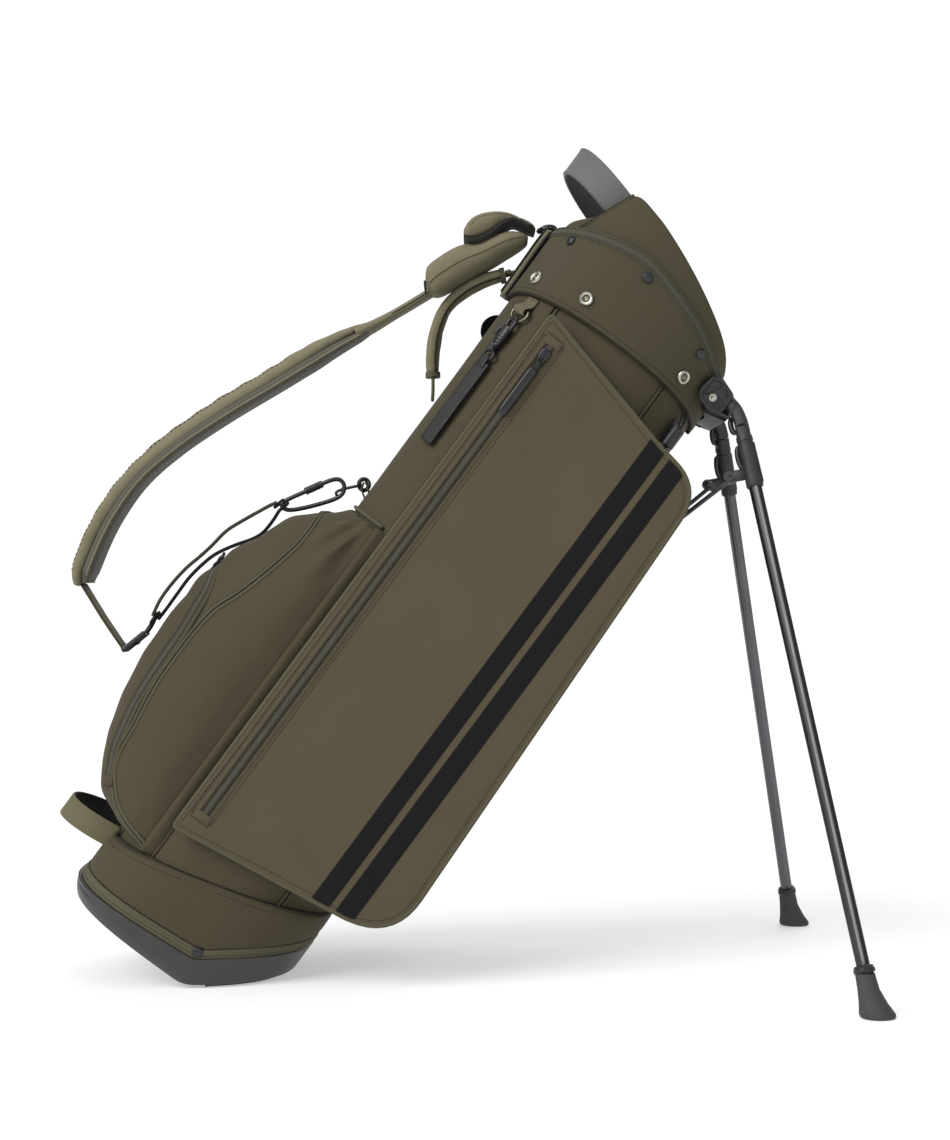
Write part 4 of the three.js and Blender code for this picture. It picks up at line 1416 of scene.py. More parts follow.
def outline_run(start, stop):
    """The outline's points from one place to another, going up its number."""
    def nearest(b, a):
        return int(np.argmin(np.hypot(RIM_X[:, 0] - b, RIM_X[:, 1] - a)))

    i, j = nearest(*start), nearest(*stop)
    out = [RIM_LINE[i]]
    while i != j:
        i = (i + 1) % len(RIM_LINE)
        out.append(RIM_LINE[i])
    return out


def spread(points, count):
    """Points at even distances along a broken line."""
    far = [0.0]
    for p, q in zip(points, points[1:]):
        far.append(far[-1] + (q - p).length)
    xs = np.interp(np.linspace(0, far[-1], count), far, [p.x for p in points])
    ys = np.interp(np.linspace(0, far[-1], count), far, [p.y for p in points])
    return [Vector((x, y)) for x, y in zip(xs, ys)]


WIDE, TALL = 61, 121
LOW_CORNER, HIGH_CORNER = (157, 189), (141, 682)
BOTTOM_EDGE = spread(outline_run((-SEAM_B, 141), LOW_CORNER), WIDE)
RIGHT_EDGE = spread(outline_run(LOW_CORNER, HIGH_CORNER), TALL)
TOP_EDGE = spread(outline_run(HIGH_CORNER, (-SEAM_B, 740)), WIDE)[::-1]
LEFT_EDGE = spread(outline_run((-SEAM_B, 740), (-SEAM_B, 141)), TALL)[::-1]


def panel_point(i, j):
    """The face's point in column i, row j: the four edges are blended."""
    u, w = i / (WIDE - 1), j / (TALL - 1)
    flat = LEFT_EDGE[j] * (1 - u) + RIGHT_EDGE[j] * u + BOTTOM_EDGE[i] * (1 - w) + TOP_EDGE[i] * w
    flat -= BOTTOM_EDGE[0] * (1 - u) * (1 - w) + BOTTOM_EDGE[-1] * u * (1 - w)
    flat -= TOP_EDGE[0] * (1 - u) * w + TOP_EDGE[-1] * u * w
    return flat


def open_loft(rings):
    points, numbers = numbered(rings)
    return points, loft(numbers, cap=False)


def pocket_panel(word, side):
    """The pocket's stiff face: a crowned sheet whose rim turns in to a flat back."""
    grid = [[panel_point(i, j) for j in range(TALL)] for i in range(WIDE)]
    points = [bag(p.x, side * panel_face(p.x, p.y), p.y) for column in grid for p in column]
    faces = []
    for i in range(WIDE - 1):
        for j in range(TALL - 1):
            k = i * TALL + j
            faces.append((k, k + TALL, k + TALL + 1, k + 1))
    border = [i * TALL for i in range(WIDE)] + [(WIDE - 1) * TALL + j for j in range(1, TALL)]
    border += [i * TALL + TALL - 1 for i in range(WIDE - 2, -1, -1)] + list(range(TALL - 2, 0, -1))
    edge_points = [grid[k // TALL][k % TALL] for k in border]
    ring = border
    turn_in = [(0.0, PANEL_EDGE - 1.4), (0.0, PANEL_IN + 1.6), (0.6, PANEL_IN + 0.4), (2.5, PANEL_IN)]
    for inset, y in turn_in:
        start = len(points)
        for p in edge_points:
            q = p.lerp(Vector((50, 430)), inset / 300)
            points.append(bag(q.x, side * y, q.y))
        here = list(range(start, len(points)))
        for m in range(len(ring)):
            w = (m + 1) % len(ring)
            faces.append((ring[m], ring[w], here[w], here[m])[::-1])
        ring = here
    faces.append(tuple(ring))
    uvs = [((TO_BAG @ p).x, (TO_BAG @ p).z) for p in points]
    obj = mesh_object(f"{word}_pocket_panel", points, faces, uvs)
    if obj.data.polygons[3000].normal.y * side < 0:
        obj.data.flip_normals()
    obj.data.set_sharp_from_angle(angle=math.radians(70))
    dress(obj, PANEL, [f"{word}_pocket"])


def pocket_gusset(word, side):
    """The wall behind the panel, that closes the pocket on the tube."""
    shape = [(-SEAM_B + 5, 149), (84, 171), (85, 690), (-SEAM_B + 5, 729)]
    gusset_line = dense([Vector(p) for p in shape], 12)
    rings = []
    for j in range(7):
        t = j / 6
        ring = []
        for p in gusset_line:
            root = side_y(max(min(p.x, 100), -100), 1, grown(BODY, 0.4))
            y = PANEL_IN + 0.2 + (root - PANEL_IN - 0.2) * t
            c = Vector((14, 430))
            tuck = 2.2 * math.sin(math.pi * t) * (1 + 0.6 * waves((p.x, p.y, t * 20), 28, 4.4))
            q = p + (c - p).normalized() * tuck
            ring.append(bag(q.x, side * y, q.y))
        rings.append(ring)
    gusset = mesh_object(f"{word}_pocket_gusset", *open_loft(rings))
    dress(gusset, CANVAS)


def pocket_binding(word, side):
    """The panel's bound edge, and the thread inside it."""
    middle = [Vector((max(min(p.x, 52), 46), max(min(p.y, 600), 260))) for p in RIM_LINE]
    out = [bag(p.x, side * (PANEL_EDGE - 1.9), p.y) for p in RIM_LINE]
    out.append(out[0])
    normals = [Vector((0, side, 0))] * len(out)
    strip(f"{word}_pocket_binding", out, slab(4.4, 5.0, 2.6, 12), EDGE, "trim_tape", normal=normals)
    ring = []
    for p, m in zip(RIM_LINE, middle):
        q = p.lerp(m, STITCH_INSET / max((p - m).length, 1))
        ring.append(bag(q.x, side * (panel_face(q.x, q.y) + 0.15), q.y))
    ring.append(ring[0])
    facing = [Vector((0, side, 0))] * len(ring)
    threaded(f"{word}_pocket_stitches", ring, facing, (3.4, 2.3, 0.7, 0.4))


def pocket_stripes(word, side):
    """Two black tapes sewn along the pocket."""
    for k, (b0, b1) in enumerate(((82.6, 101.4), (107.9, 127.5)), 1):
        columns = []
        for i in range(9):
            b = b0 + (b1 - b0) * i / 8
            low, high = panel_span(b)
            rise = 0.75 if 0 < i < 8 else 0.15
            columns.append(
                [bag(b, side * (panel_face(b, a) + rise), a)
                 for a in (low + 2.4 + (high - low - 4.8) * j / 90 for j in range(91))]
            )
        points = [p for c in columns for p in c]
        faces = [
            (i * 91 + j, (i + 1) * 91 + j, (i + 1) * 91 + j + 1, i * 91 + j + 1)
            for i in range(8) for j in range(90)
        ]
        stripe = mesh_object(f"{word}_stripe_{k}", points, faces)
        if stripe.data.polygons[300].normal.y * side < 0:
            stripe.data.flip_normals()
        dress(stripe, STRIPE)
        thread = []
        for b in (b0 + 1.3, b1 - 1.3):
            low, high = panel_span(b)
            line = [bag(b, side * (panel_face(b, a) + 0.8), a) for a in np.linspace(low + 4, high - 4, 120)]
            thread += ticks(line, [Vector((0, side, 0))] * 120, 3.4, 2.3, 0.6, 0.3)
        dress(joined(f"{word}_stripe_{k}_stitches", thread), BLACK_WEB)


def garment_zip(word, side):
    """A reverse-coil zip let into the pocket's face, in a stitched frame."""
    b0, low, high = -45, 168, 716
    facing = Vector((0, side, 0))
    line = [bag(b0, side * 118.75, a) for a in np.linspace(low, high, 160)]
    normals = [facing] * len(line)
    welt = mirrored([(-8.6, -1.4), (-8.6, 0.1), (-7.8, 0.65), (-4.9, 0.65), (-4.3, 0.0)])
    obj = swept(f"{word}_zip_frame", line, welt, normals, sharp=60)
    dress(obj, PANEL, [f"{word}_zip"])
    cover = [(-4.2, -0.2), (-4.0, 0.45), (-0.4, 0.75), (0, 0.4), (0.4, 0.75), (4.0, 0.45), (4.2, -0.2)]
    strip(f"{word}_zip_tape", line, cover, ZIP_TAPE, "zip_tape", normal=normals)
    ribs = ticks(line, normals, 1.5, 4.2, 1.2, 1.25, across=True)
    dress(joined(f"{word}_zip_coil", ribs), COIL)
    # Dark cords either side of the coil: painted shade beside the zip.
    for k, by in ((1, -4.5), (2, 4.5)):
        gap = [p + turned(1, 0, 0) * by * MM + facing * 0.25 * MM for p in line]
        strip(f"{word}_zip_gap_{k}", gap, circle(0.6, 6), DARK_PIPING_AND_SEAM_SHADE, "zip_tape", normal=normals)
    thread = []
    for off in (-6.3, 6.3, -11.5, 11.5):
        run = [bag(b0 + off, side * (119.3 if abs(off) < 9 else panel_face(b0 + off, a) + 0.15), a)
               for a in np.linspace(low - 6, high + 6, 160)]
        thread += ticks(run, normals, 3.2, 2.2, 0.65, 0.4)
    for a in (low - 9, low - 5, high + 5, high + 9):
        run = [bag(b, side * (panel_face(b, a) + 0.15), a) for b in np.linspace(b0 - 11.5, b0 + 11.5, 20)]
        thread += ticks(run, [facing] * 20, 3.2, 2.2, 0.65, 0.4)
    dress(joined(f"{word}_zip_stitches", thread), THREAD)
    for a, label in ((low - 3, "foot"), (high + 3, "head")):
        patch = [bag(b0, side * (118.9), a + k) for k in (-4.0, -2.5, 2.5, 4.0)]
        strip(f"{word}_zip_{label}", patch, band(17, 1.1), PANEL, "coated_canvas", normal=facing)


def slider_taper(t):
    return 0.72 + 0.28 * math.sin(math.pi * min(1, t * 1.25)) ** 0.5


def grip_waist(t):
    return 0.62 + 0.38 * min(1.0, math.sin(math.pi * (0.06 + 0.88 * t)) * 2.2) ** 0.7


def zip_puller(word, side):
    """Slider body with its bridge, and a long cord puller in a moulded grip."""
    b0, top = -45, 711
    facing = Vector((0, side, 0))
    body = f"{word}_zip"
    slider = [bag(b0, side * 121.4, a) for a in np.linspace(top, top - 14, 12)]
    obj = swept(f"{word}_slider_body", slider, slab(9.6, 2.4, 3.0), [facing] * 12, body, slider_taper)
    dress(obj, STEEL, [f"{word}_zip_slider"])
    bridge = [
        bag(b0, side * y, a)
        for y, a in (
            (122.4, top - 2), (124.0, top - 4), (124.4, top - 8), (123.6, top - 12),
            (122.4, top - 13),
        )
    ]
    line = through(bridge, 16)
    strip(
        f"{word}_slider_bridge", line, slab(3.0, 1.1, 2.5, 10), STEEL, "black_plastic",
        normal=[ACROSS.cross(turned(0, 0, 1))] * 16, body=body,
    )
    loop = [
        bag(b0 + x, side * 123.2, a)
        for x, a in ((0, top - 8), (1.9, top - 13), (2.2, top - 20), (1.4, top - 25))
    ]
    back = [
        bag(b0 - x, side * 123.2, a)
        for x, a in ((1.4, top - 25), (2.2, top - 20), (1.9, top - 13), (0.0, top - 8))
    ]
    line = through(loop + back, 50)
    strip(
        f"{word}_pull_cord", line, circle(0.85, 8), BLACK_WEB, "black_plastic",
        normal=[facing] * 50, body=body,
    )
    grip = [bag(b0, side * 122.6, a) for a in np.linspace(top - 22, top - 74, 30)]
    obj = swept(f"{word}_pull_grip", grip, slab(8.4, 4.2, 3.4), [facing] * 30, body, grip_waist)
    dress(obj, BLACK)
    ribs = ticks([p + facing * 1.6 * MM for p in grip[3:9]], [facing] * 6, 2.2, 5.5, 1.0, 0.9, across=True)
    ribs += ticks(
        [p + facing * 1.6 * MM for p in grip[20:27]], [facing] * 7, 2.2, 5.5, 1.0, 0.9, across=True,
    )
    dress(joined(f"{word}_pull_ribs", ribs, body), BLACK)


for word, side in SIDES:
    pocket_panel(word, side)
    pocket_gusset(word, side)
    pocket_binding(word, side)
    pocket_stripes(word, side)
    garment_zip(word, side)
    zip_puller(word, side)


# ---------------------------------------------------------------- base
def slant(b, up=0.0):
    """Height of the slanted toe plane at b, a distance above it."""
    return 22 + (b - 37) * math.tan(LEAN) + up / COS


def toe_line(b):
    """The base's lower edge: flat under the heel, rounded into the slanted toe."""
    rise = slant(b, 1.8) - 22
    return 22 + (rise + math.sqrt(rise * rise + 36)) / 2 - 0.3


def base_shell():
    columns, count = [], 128
    for i in range(count):
        angle = 2 * math.pi * i / count
        b, y = squircle(angle, CUP, SQUARE)
        n = outward(b, y, CUP, SQUARE)
        low = toe_line(b)
        tall = hem(b) - low
        heel = max(0.0, min(1.0, (-b - 40) / 60))
        under = max(0.0, min(1.0, (38 - b) / 26))
        chamfer, inset = 2.0 + 7.5 * under, 1.8 + 4.6 * under
        profile = [(0.0, -inset), (0.3 * chamfer, -0.6 * inset), (0.88 * chamfer, -0.5), (chamfer + 1, 0.0)]
        wall_foot = chamfer + 1
        profile += [
            (wall_foot + (tall - wall_foot - 2.5) * t, 1.8 * heel * t * t)
            for t in (0.25, 0.5, 0.75, 1.0)
        ]
        profile += [(tall - 1.4, 1.7 * heel + 0.1), (tall - 0.5, 1.2 * heel - 0.4), (tall, -1.6)]
        columns.append([bag(b + n.x * o, y + n.y * o, low + h) for h, o in profile])
    rows = list(map(list, zip(*columns)))
    inner = []
    for i in range(count):
        angle = 2 * math.pi * i / count
        b, y = squircle(angle, grown(CUP, -5), SQUARE)
        inner.append(bag(b, y, hem(b) - 1))
    floor_ring = []
    for i in range(count):
        b, y = squircle(2 * math.pi * i / count, grown(CUP, -6), SQUARE)
        floor_ring.append(bag(b, y, max(29, slant(b, 16))))
    rows += [inner, floor_ring]
    points, numbers = numbered(rows)
    faces = loft(numbers, cap=False)
    bottom = numbers[0]
    for i in range(count // 2 - 1):
        near, far = bottom[i + 1], bottom[-i - 1]
        faces.append(
            (bottom[i], near, far, bottom[-i] if i else bottom[0]) if i else (bottom[0], near, far),
        )
    faces.append((bottom[count // 2 - 1], bottom[count // 2], bottom[count // 2 + 1]))
    faces.append(tuple(numbers[-1]))
    obj = mesh_object("base_shell", points, faces)
    fix_outward(obj)
    obj.data.set_sharp_from_angle(angle=math.radians(38))
    dress(obj, PLASTIC, ["base_cup"])


base_shell()


def toe_pad():
    """The slanted pad that stands on the floor, and a stop at its tip."""
    half = grown(CUP, -4.4)
    outline = []
    for i in range(97):
        angle = -math.pi / 2 + math.pi * i / 96
        b, y = squircle(angle, half, SQUARE)
        outline.append((max(b, 53), y))
    rings = []
    for up, grow in ((0.05, -1.4), (0.7, -0.2), (1.6, 0.0), (5.0, 0.0)):
        ring = []
        for b, y in outline:
            shrink = 1 + grow / 90
            b2 = 70 + (b - 70) * shrink
            ring.append(bag(b2 - up * math.sin(LEAN), y * shrink, slant(b2) + up * COS))
        rings.append(ring)
    pad = lofted("toe_pad", rings, "toe_plate", sharp=40)
    dress(pad, TOE_PLASTIC, ["toe_plate"])
    tip = []
    for up, grow in ((0.05, -1.0), (0.6, 0.0), (3.6, 0.0), (4.4, -0.8)):
        ring = []
        for x, y in slab(2 * (9 + grow), 2 * (7 + grow), 4, 20):
            b = 102 + y
            ring.append(bag(b - up * math.sin(LEAN), x, slant(b) + up * COS))
        tip.append(ring)
    dress(lofted("toe_stop", tip, "toe_plate", sharp=40), TOE_PLASTIC)


toe_pad()


def snaps(name, spots, half, power=ROUND):
    """Press studs, each at (b, side, a) on the skin."""
    parts = [turned_rings(seat(b, s, a, half, 0.0, power), SNAP, 24) for b, s, a in spots]
    dress(joined(name, parts, sharp=40), STEEL)


SNAP = [(4.9, -0.4), (4.9, 0.4), (4.5, 0.9), (3.8, 1.1), (3.4, 0.95), (2.9, 0.95), (1.9, 1.35), (0.3, 1.5)]
spots = [(b, s, a) for s in (-1, 1) for b, a in ((-92, 813.5), (-10.6, 822.5), (73.8, 797))]
snaps("collar_snaps", spots, grown(COLLAR, 1.5))
snaps("base_snaps", [(27, s, 57) for s in (-1, 1)], grown(BOOT, 1), SQUARE)
RING = [(7.0, -0.6), (7.0, 0.7), (6.4, 1.9), (5.4, 2.5), (4.3, 2.3), (3.6, 1.5), (3.4, 0.6), (0.4, 0.5)]
RIVET_CORE = [(2.7, 0.4), (2.6, 1.1), (2.0, 1.5), (1.5, 1.2), (0.9, 1.2), (0.7, 1.7), (0.2, 1.75)]
SEAT = [(4.4, 0.2), (4.4, 0.8), (0.3, 0.8)]
RIVETS = ((-97, 766), (-45, 773), (73, 770))
for word, s in SIDES:
    for i, (b, a) in enumerate(RIVETS, 1):
        place = seat(b, s, a, COLLAR, 0.6)
        node = [f"{word}_rivet_{i}"]
        lathed(f"{word}_rivet_seat_{i}", place, SEAT, 20, STEEL, "dark_steel", sharp=40)
        lathed(f"{word}_rivet_ring_{i}", place, RING, 28, SILVER, "silver_metal", node, sharp=40)
        lathed(f"{word}_rivet_core_{i}", place, RIVET_CORE, 20, OLD_BRASS, "silver_metal", sharp=40)

# ---------------------------------------------------------------- mouth
refined("divider_frame", BLACK, 0.9)


def divider_top(b):
    return 818 - 0.2 * b


def divider_sheet(name, along_b, node=None):
    """A cloth sheet between the wells, hung from its bar and sewn at the foot."""
    reach, low = 94, 150
    rings = []
    for i in range(33):
        t = -1 + 2 * i / 32
        across = reach * t
        column = []
        for j in range(25):
            s = j / 24
            b = across if along_b else 0
            top = divider_top(b) - 25
            a = low + (top - low) * s
            free = math.sin(math.pi * s) * (1 - t * t)
            slack = 2.0 * free * waves((across, a / 2, 3 if along_b else 40), 60, 1.5)
            column.append((across, slack, a))
        rings.append(column)
    size = 25
    points, faces = [], []
    for face_side in (0.7, -0.7):
        for column in rings:
            for across, slack, a in column:
                off = slack + face_side
                points.append(bag(across, off, a) if along_b else bag(off, across, a))
    n = 33 * size
    for i in range(32):
        for j in range(24):
            p = i * size + j
            faces.append((p, p + size, p + size + 1, p + 1))
            faces.append((n + p, n + p + 1, n + p + size + 1, n + p + size))
    border = [i * size for i in range(33)] + [32 * size + j for j in range(1, 25)]
    border += [i * size + 24 for i in range(31, -1, -1)] + [j for j in range(23, 0, -1)]
    for p, q in zip(border, border[1:] + border[:1]):
        faces.append((p, q, n + q, n + p))
    obj = mesh_object(name, points, faces)
    fix_outward(obj)
    dress(obj, LINING, [node] if node else ())


divider_sheet("divider_long_sheet", True, "divider_cloth")
divider_sheet("divider_cross_sheet", False)


# ---------------------------------------------------------------- handles
def loop_band(name, root_b, reach, half_y, low, width, thick, section, material, node, steps=72):
    """A band that loops out from the tube and back, standing on its edge."""
    path = []
    for i in range(steps + 1):
        turn = math.pi * i / steps
        path.append((root_b - reach * max(math.sin(turn), 0) ** 0.9, half_y * math.cos(turn)))
    rings = []
    for i, (b, y) in enumerate(path):
        before, after = path[max(i - 1, 0)], path[min(i + 1, steps)]
        t = Vector((after[0] - before[0], after[1] - before[1])).normalized()
        out = Vector((t.y, -t.x))
        ring = []
        for up, depth in section(width, thick):
            ring.append(bag(b + out.x * depth, y + out.y * depth, low(b) + up))
        rings.append(ring)
    obj = lofted(name, rings)
    return dress(obj, material, [node] if node else ())


def grip_section(width, thick):
    h = thick / 2
    return [
        (0, -h * 0.5), (0.3, h * 0.7), (1.4, h * 1.25), (2.6, h), (width / 2, h * 0.92), (width - 2.6, h),
        (width - 1.4, h * 1.25), (width - 0.3, h * 0.7), (width, -h * 0.5), (width - 1.2, -h),
        (width / 2, -h), (1.2, -h),
    ]


grip = loop_band(
    "lift_handle_grip", -70, 70, 65, lambda b: 854 - 0.29 * (b + 70), 31, 4, grip_section,
    [HANDLE, HANDLE_BACK], "lift_handle",
)
for poly in grip.data.polygons:
    c = TO_BAG @ poly.center / MM
    n = TO_BAG.to_3x3() @ poly.normal
    away = Vector((c.x + 70, c.y, 0)).normalized()
    if n.dot(away) < -0.25:
        poly.material_index = 1
grip.data.set_sharp_from_angle(angle=math.radians(55))


def web_section(width, thick):
    h = thick / 2
    return [
        (0, -h * 0.6), (0, h * 0.6), (0.8, h), (width - 0.8, h), (width, h * 0.6),
        (width, -h * 0.6), (width - 0.8, -h), (0.8, -h),
    ]


heel = loop_band(
    "heel_loop", -104, 62, 50, lambda b: 72 + 0.15 * (b + 116), 23, 2.4, web_section,
    [WEB, MESH], "heel_handle",
)
for poly in heel.data.polygons:
    c = TO_BAG @ poly.center / MM
    n = TO_BAG.to_3x3() @ poly.normal
    if n.dot(Vector((c.x + 116, c.y, 0)).normalized()) < -0.3:
        poly.material_index = 1


# ---------------------------------------------------------------- shoulder strap
STRAP = [(-80, 640), (-128, 616), (-180, 585), (-235, 552), (-282, 520), (-318, 488), (-345, 450)] + [
    (-362, 415), (-371, 388), (-371, 378)
]
PAD_W = 56


def strap_swell(t):
    """The strap's thickness along it: full soon after its top end, blunt at its foot."""
    head = 0.40 + 0.60 * min(1.0, t / 0.17) ** 0.8
    foot = 0.62 + 0.38 * min(1.0, (1.03 - t) / 0.1) ** 0.5
    return 23.5 * head * foot


strap_line = upright(STRAP, 90)
STRAP_UP = frames_along(strap_line, Vector((-0.5, 0, 0.9)))


def strap_layer(low_share, high_share, width, power, trim=0.0, inset=0):
    """Rings of one layer of the strap, between two shares of its thickness."""
    rings = []
    for i in range(inset, 90 - inset):
        p, (_, side, up) = strap_line[i], STRAP_UP[i]
        s = i / 89
        thick = strap_swell(s)
        wide = width * (0.86 + 0.14 * min(1, s / 0.18))
        end = min(1.0, 0.72 + 0.28 * min(i - inset, 89 - inset - i) / 3)
        middle = p + up * ((low_share + high_share) / 2 * thick * MM)
        tall = (high_share - low_share) * thick - trim
        rings.append([
            middle + side * x * MM * end + up * z * MM * end
            for x, z in slab(wide, tall, power, 20)
        ])
    return rings


PAD_PIECE = lofted("shoulder_strap_pad", strap_layer(-0.27, 0.5, PAD_W - 3, 3.6, 3.2))
BACK_PIECE = lofted("strap_back_mesh", strap_layer(-0.5, 0.0, PAD_W - 5, 4.0, inset=1))
dress(BACK_PIECE, GREY_MESH)


def strap_place(p):
    """Nearest strap station, and how far the point lies above the strap's middle."""
    best = min(range(90), key=lambda i: (strap_line[i] - Vector((p.x, 0, p.z))).length_squared)
    return best, (p - strap_line[best]).dot(STRAP_UP[best][2]) / MM


puffed(PAD_PIECE, 5, 4.0, 2.2)


def strap_fold(p):
    k, up = strap_place(p)
    s = k / 89
    ripple = 0.7 * math.sin(s * 95) * max(0.0, min(1.0, (up - 3) / 6)) * min(1, 4 * s, 4 * (1 - s))
    return 0.5 * waves((p.x / MM, p.y / MM, p.z / MM), 34, 6.3) + ripple


moved(PAD_PIECE, strap_fold)
smoothed(PAD_PIECE)
subdivide(PAD_PIECE)
dress(PAD_PIECE, PAD_LIGHTER_FOR_STRAP, ["shoulder_strap"])
STRAP_SURFACE = surface_of(PAD_PIECE, BACK_PIECE)


def strap_edge(side, height, out=30, lo=3, hi=87):
    points, normals = [], []
    for i in range(lo, hi):
        up = STRAP_UP[i][2]
        start = strap_line[i] + Vector((0, side * out * MM, 0)) + up * height(i / 89) * MM
        hit, _, _, _ = STRAP_SURFACE.ray_cast(start + Vector((0, side * 0.03, 0)), Vector((0, -side, 0)))
        if hit is None:
            continue
        points.append(hit)
        normals.append(Vector((0, side, 0)))
    return points, normals


for word, side in NEAR_AND_FAR:
    line, normals = strap_edge(side, lambda s: -0.3 * strap_swell(s))
    strip(f"strap_piping_{word}", line, circle(1.1, 8), PAD_LIGHTER_FOR_STRAP, "trim_tape", normal=normals)
    line, normals = strap_edge(side, lambda s: 0.43 * strap_swell(s), lo=20)
    threaded(f"strap_scallop_stitches_{word}", line, normals, (5.2, 2.6, 1.3, 0.5))

tail = upright([(-371, 381), (-350, 347), (-329, 316)], 30)
facing = [Vector((0.86, 0, 0.5))] * 30
strip("strap_tail_web", tail, slab(25, 3.6, 5.0, 20), WEB, "webbing", ["strap_tail"], normal=facing)
for word, side in NEAR_AND_FAR:
    crease = [p + Vector((0, side * 12.6, 0)) * MM for p in tail]
    strip(f"strap_tail_fold_{word}", crease, circle(0.55, 6), THREAD, "webbing")


def ladder_buckle(name, a, b, width, node):
    """A two-bar slide buckle with webbing folded through it."""
    along = (b - a).normalized()
    up = ACROSS.cross(along).normalized()
    parts = []
    for t in (0.04, 0.5, 0.96):
        p = a.lerp(b, t)
        line = [p + Vector((0, y, 0)) * MM for y in np.linspace(-width / 2, width / 2, 7)]
        parts.append([
            [q + along * (x * MM) + up * (z * MM) for x, z in slab(4.6, 4.4, 3, 10)]
            for q in line
        ])
    for y in (-width / 2, width / 2):
        line = [a.lerp(b, t) + Vector((0, y, 0)) * MM for t in np.linspace(-0.02, 1.02, 9)]
        parts.append([
            [q + Vector((0, x, 0)) * MM + up * (z * MM) for x, z in slab(3.4, 5.4, 3, 10)]
            for q in line
        ])
    obj = joined(name, parts, sharp=50)
    dress(obj, BLACK, [node] if node else ())
    weave = ((0.02, 2.6), (0.28, -1.4), (0.5, 3.4), (0.74, -1.2), (0.98, 2.4))
    fold = through([a.lerp(b, t) + up * rise * MM for t, rise in weave], 26)
    strip(
        name + "_web", fold, slab(width - 7, 1.8, 5, 12), BLACK_WEB, "elastic_cord",
        normal=ACROSS.cross(along),
    )


ladder_buckle("strap_slide", floor_axes(-330, 0, 316), floor_axes(-309, 0, 333), 27, "strap_buckle")
swivel = through(
    [
        floor_axes(-309, 0, 333), floor_axes(-304, 0, 340), floor_axes(-300, -4, 347),
        floor_axes(-298, 0, 352),
    ],
    20,
)
strip("strap_swivel", swivel, circle(2.6, 10), BLACK, "black_plastic", normal=ACROSS)
ring_line = []
for i in range(41):
    t = 2 * math.pi * i / 40
    ring_line.append(
        floor_axes(-300 + 7 * math.cos(t) * 0.6, 8.5 * math.sin(t), 348 + 7 * math.cos(t) * 0.8),
    )
strip(
    "strap_swivel_ring", ring_line[:-1], circle(1.5, 8), STEEL, "dark_steel",
    normal=Vector((0.8, 0, -0.6)), closed=True,
)

link_line = upright([(-98, 631), (-80, 640), (-52, 656), (-22, 674)], 40)
link_band = swept(
    "strap_link_band", link_line, slab(33, 8.4, 3.0, 18), Vector((-0.5, 0, 0.87)),
    scale=lambda t: 1.0 + 0.45 * max(0.0, 1 - t / 0.5) ** 1.2,
)
dress(link_band, PAD_LIGHTER_FOR_STRAP, ["strap_link"])
for word, side in NEAR_AND_FAR:
    ridge = [p + Vector((0, side * 16.3, 0)) * MM for p in link_line]
    strip(f"strap_link_fold_{word}", ridge, circle(0.6, 6), THREAD, "webbing")


# ---------------------------------------------------------------- yoke pad
def pad_between(name, upper, lower, width, count=40):
    """A closed pad between an upper and a lower profile line, rounded across its width."""
    top = upright(upper, count)
    low = upright(lower, count)
    rings = []
    for i, (p, q) in enumerate(zip(top, low)):
        mid = (p + q) / 2
        half = (p - q) / 2
        end = min(1.0, 0.8 + 0.2 * min(i, count - 1 - i) / 3)
        rings.append(
            [mid + half * (z * end) + Vector((0, x * MM * end, 0)) for x, z in
             [squircle(2 * math.pi * j / 20, (width / 2, 1.0), 3.6) for j in range(20)]]
        )
    return lofted(name, rings)


SLEEVE_TOP = [
    (-30, 684), (-28, 697), (-16, 707), (2, 717), (14, 720), (27, 723.5), (38, 728), (50, 732),
    (62, 732), (74, 729),
]
SLEEVE_LOW = [
    (-26, 668), (-17, 668), (5, 680.5), (20, 690), (34, 698), (45, 705), (55, 711), (62, 715),
    (68, 718), (74, 722),
]
SLEEVE = pad_between("yoke_sleeve", SLEEVE_TOP, SLEEVE_LOW, 56)
puffed(SLEEVE, 4, 4.0, 2.5)


def yoke_folds(p):
    return 0.5 * waves((p.x / MM, p.y / MM, p.z / MM), 24, 2.6)


moved(SLEEVE, yoke_folds)
smoothed(SLEEVE)
subdivide(SLEEVE)
dress(SLEEVE, PAD, ["yoke_pad"])

FLAP_TOP = [(9, 733), (15, 743), (24, 749), (36, 751.5), (50, 750.5), (65, 744), (80, 736)]
FLAP_LOW = [(8.5, 727), (14, 723.5), (23, 724.5), (36, 731), (47, 739.5), (57, 743), (68, 738.5), (80, 731)]
FLAP = pad_between("yoke_flap", FLAP_TOP, FLAP_LOW, 57)
puffed(FLAP, 3.2, 4.0, 1.5)
moved(FLAP, lambda p: 0.4 * waves((p.x / MM, p.y / MM, p.z / MM), 22, 4.1))
subdivide(FLAP)
dress(FLAP, PAD)
hook_low = [(9, 722), (14, 718.5), (24, 718), (36, 724.5), (48, 734), (58, 739.5), (68, 735.5), (78, 731)]
hook_top = [(x, z + 2.0) for x, z in FLAP_LOW]
dress(pad_between("yoke_hook_tape", hook_top, hook_low, 55), MESH)
flap_surface = surface_of(FLAP)


def flap_thread(name, points):
    pressed, normals = [], []
    for p in points:
        q, n, _, _ = flap_surface.find_nearest(p)
        pressed.append(q)
        normals.append(n)
    threaded(name, pressed, normals, (3.2, 2.2, 0.65, 0.35))


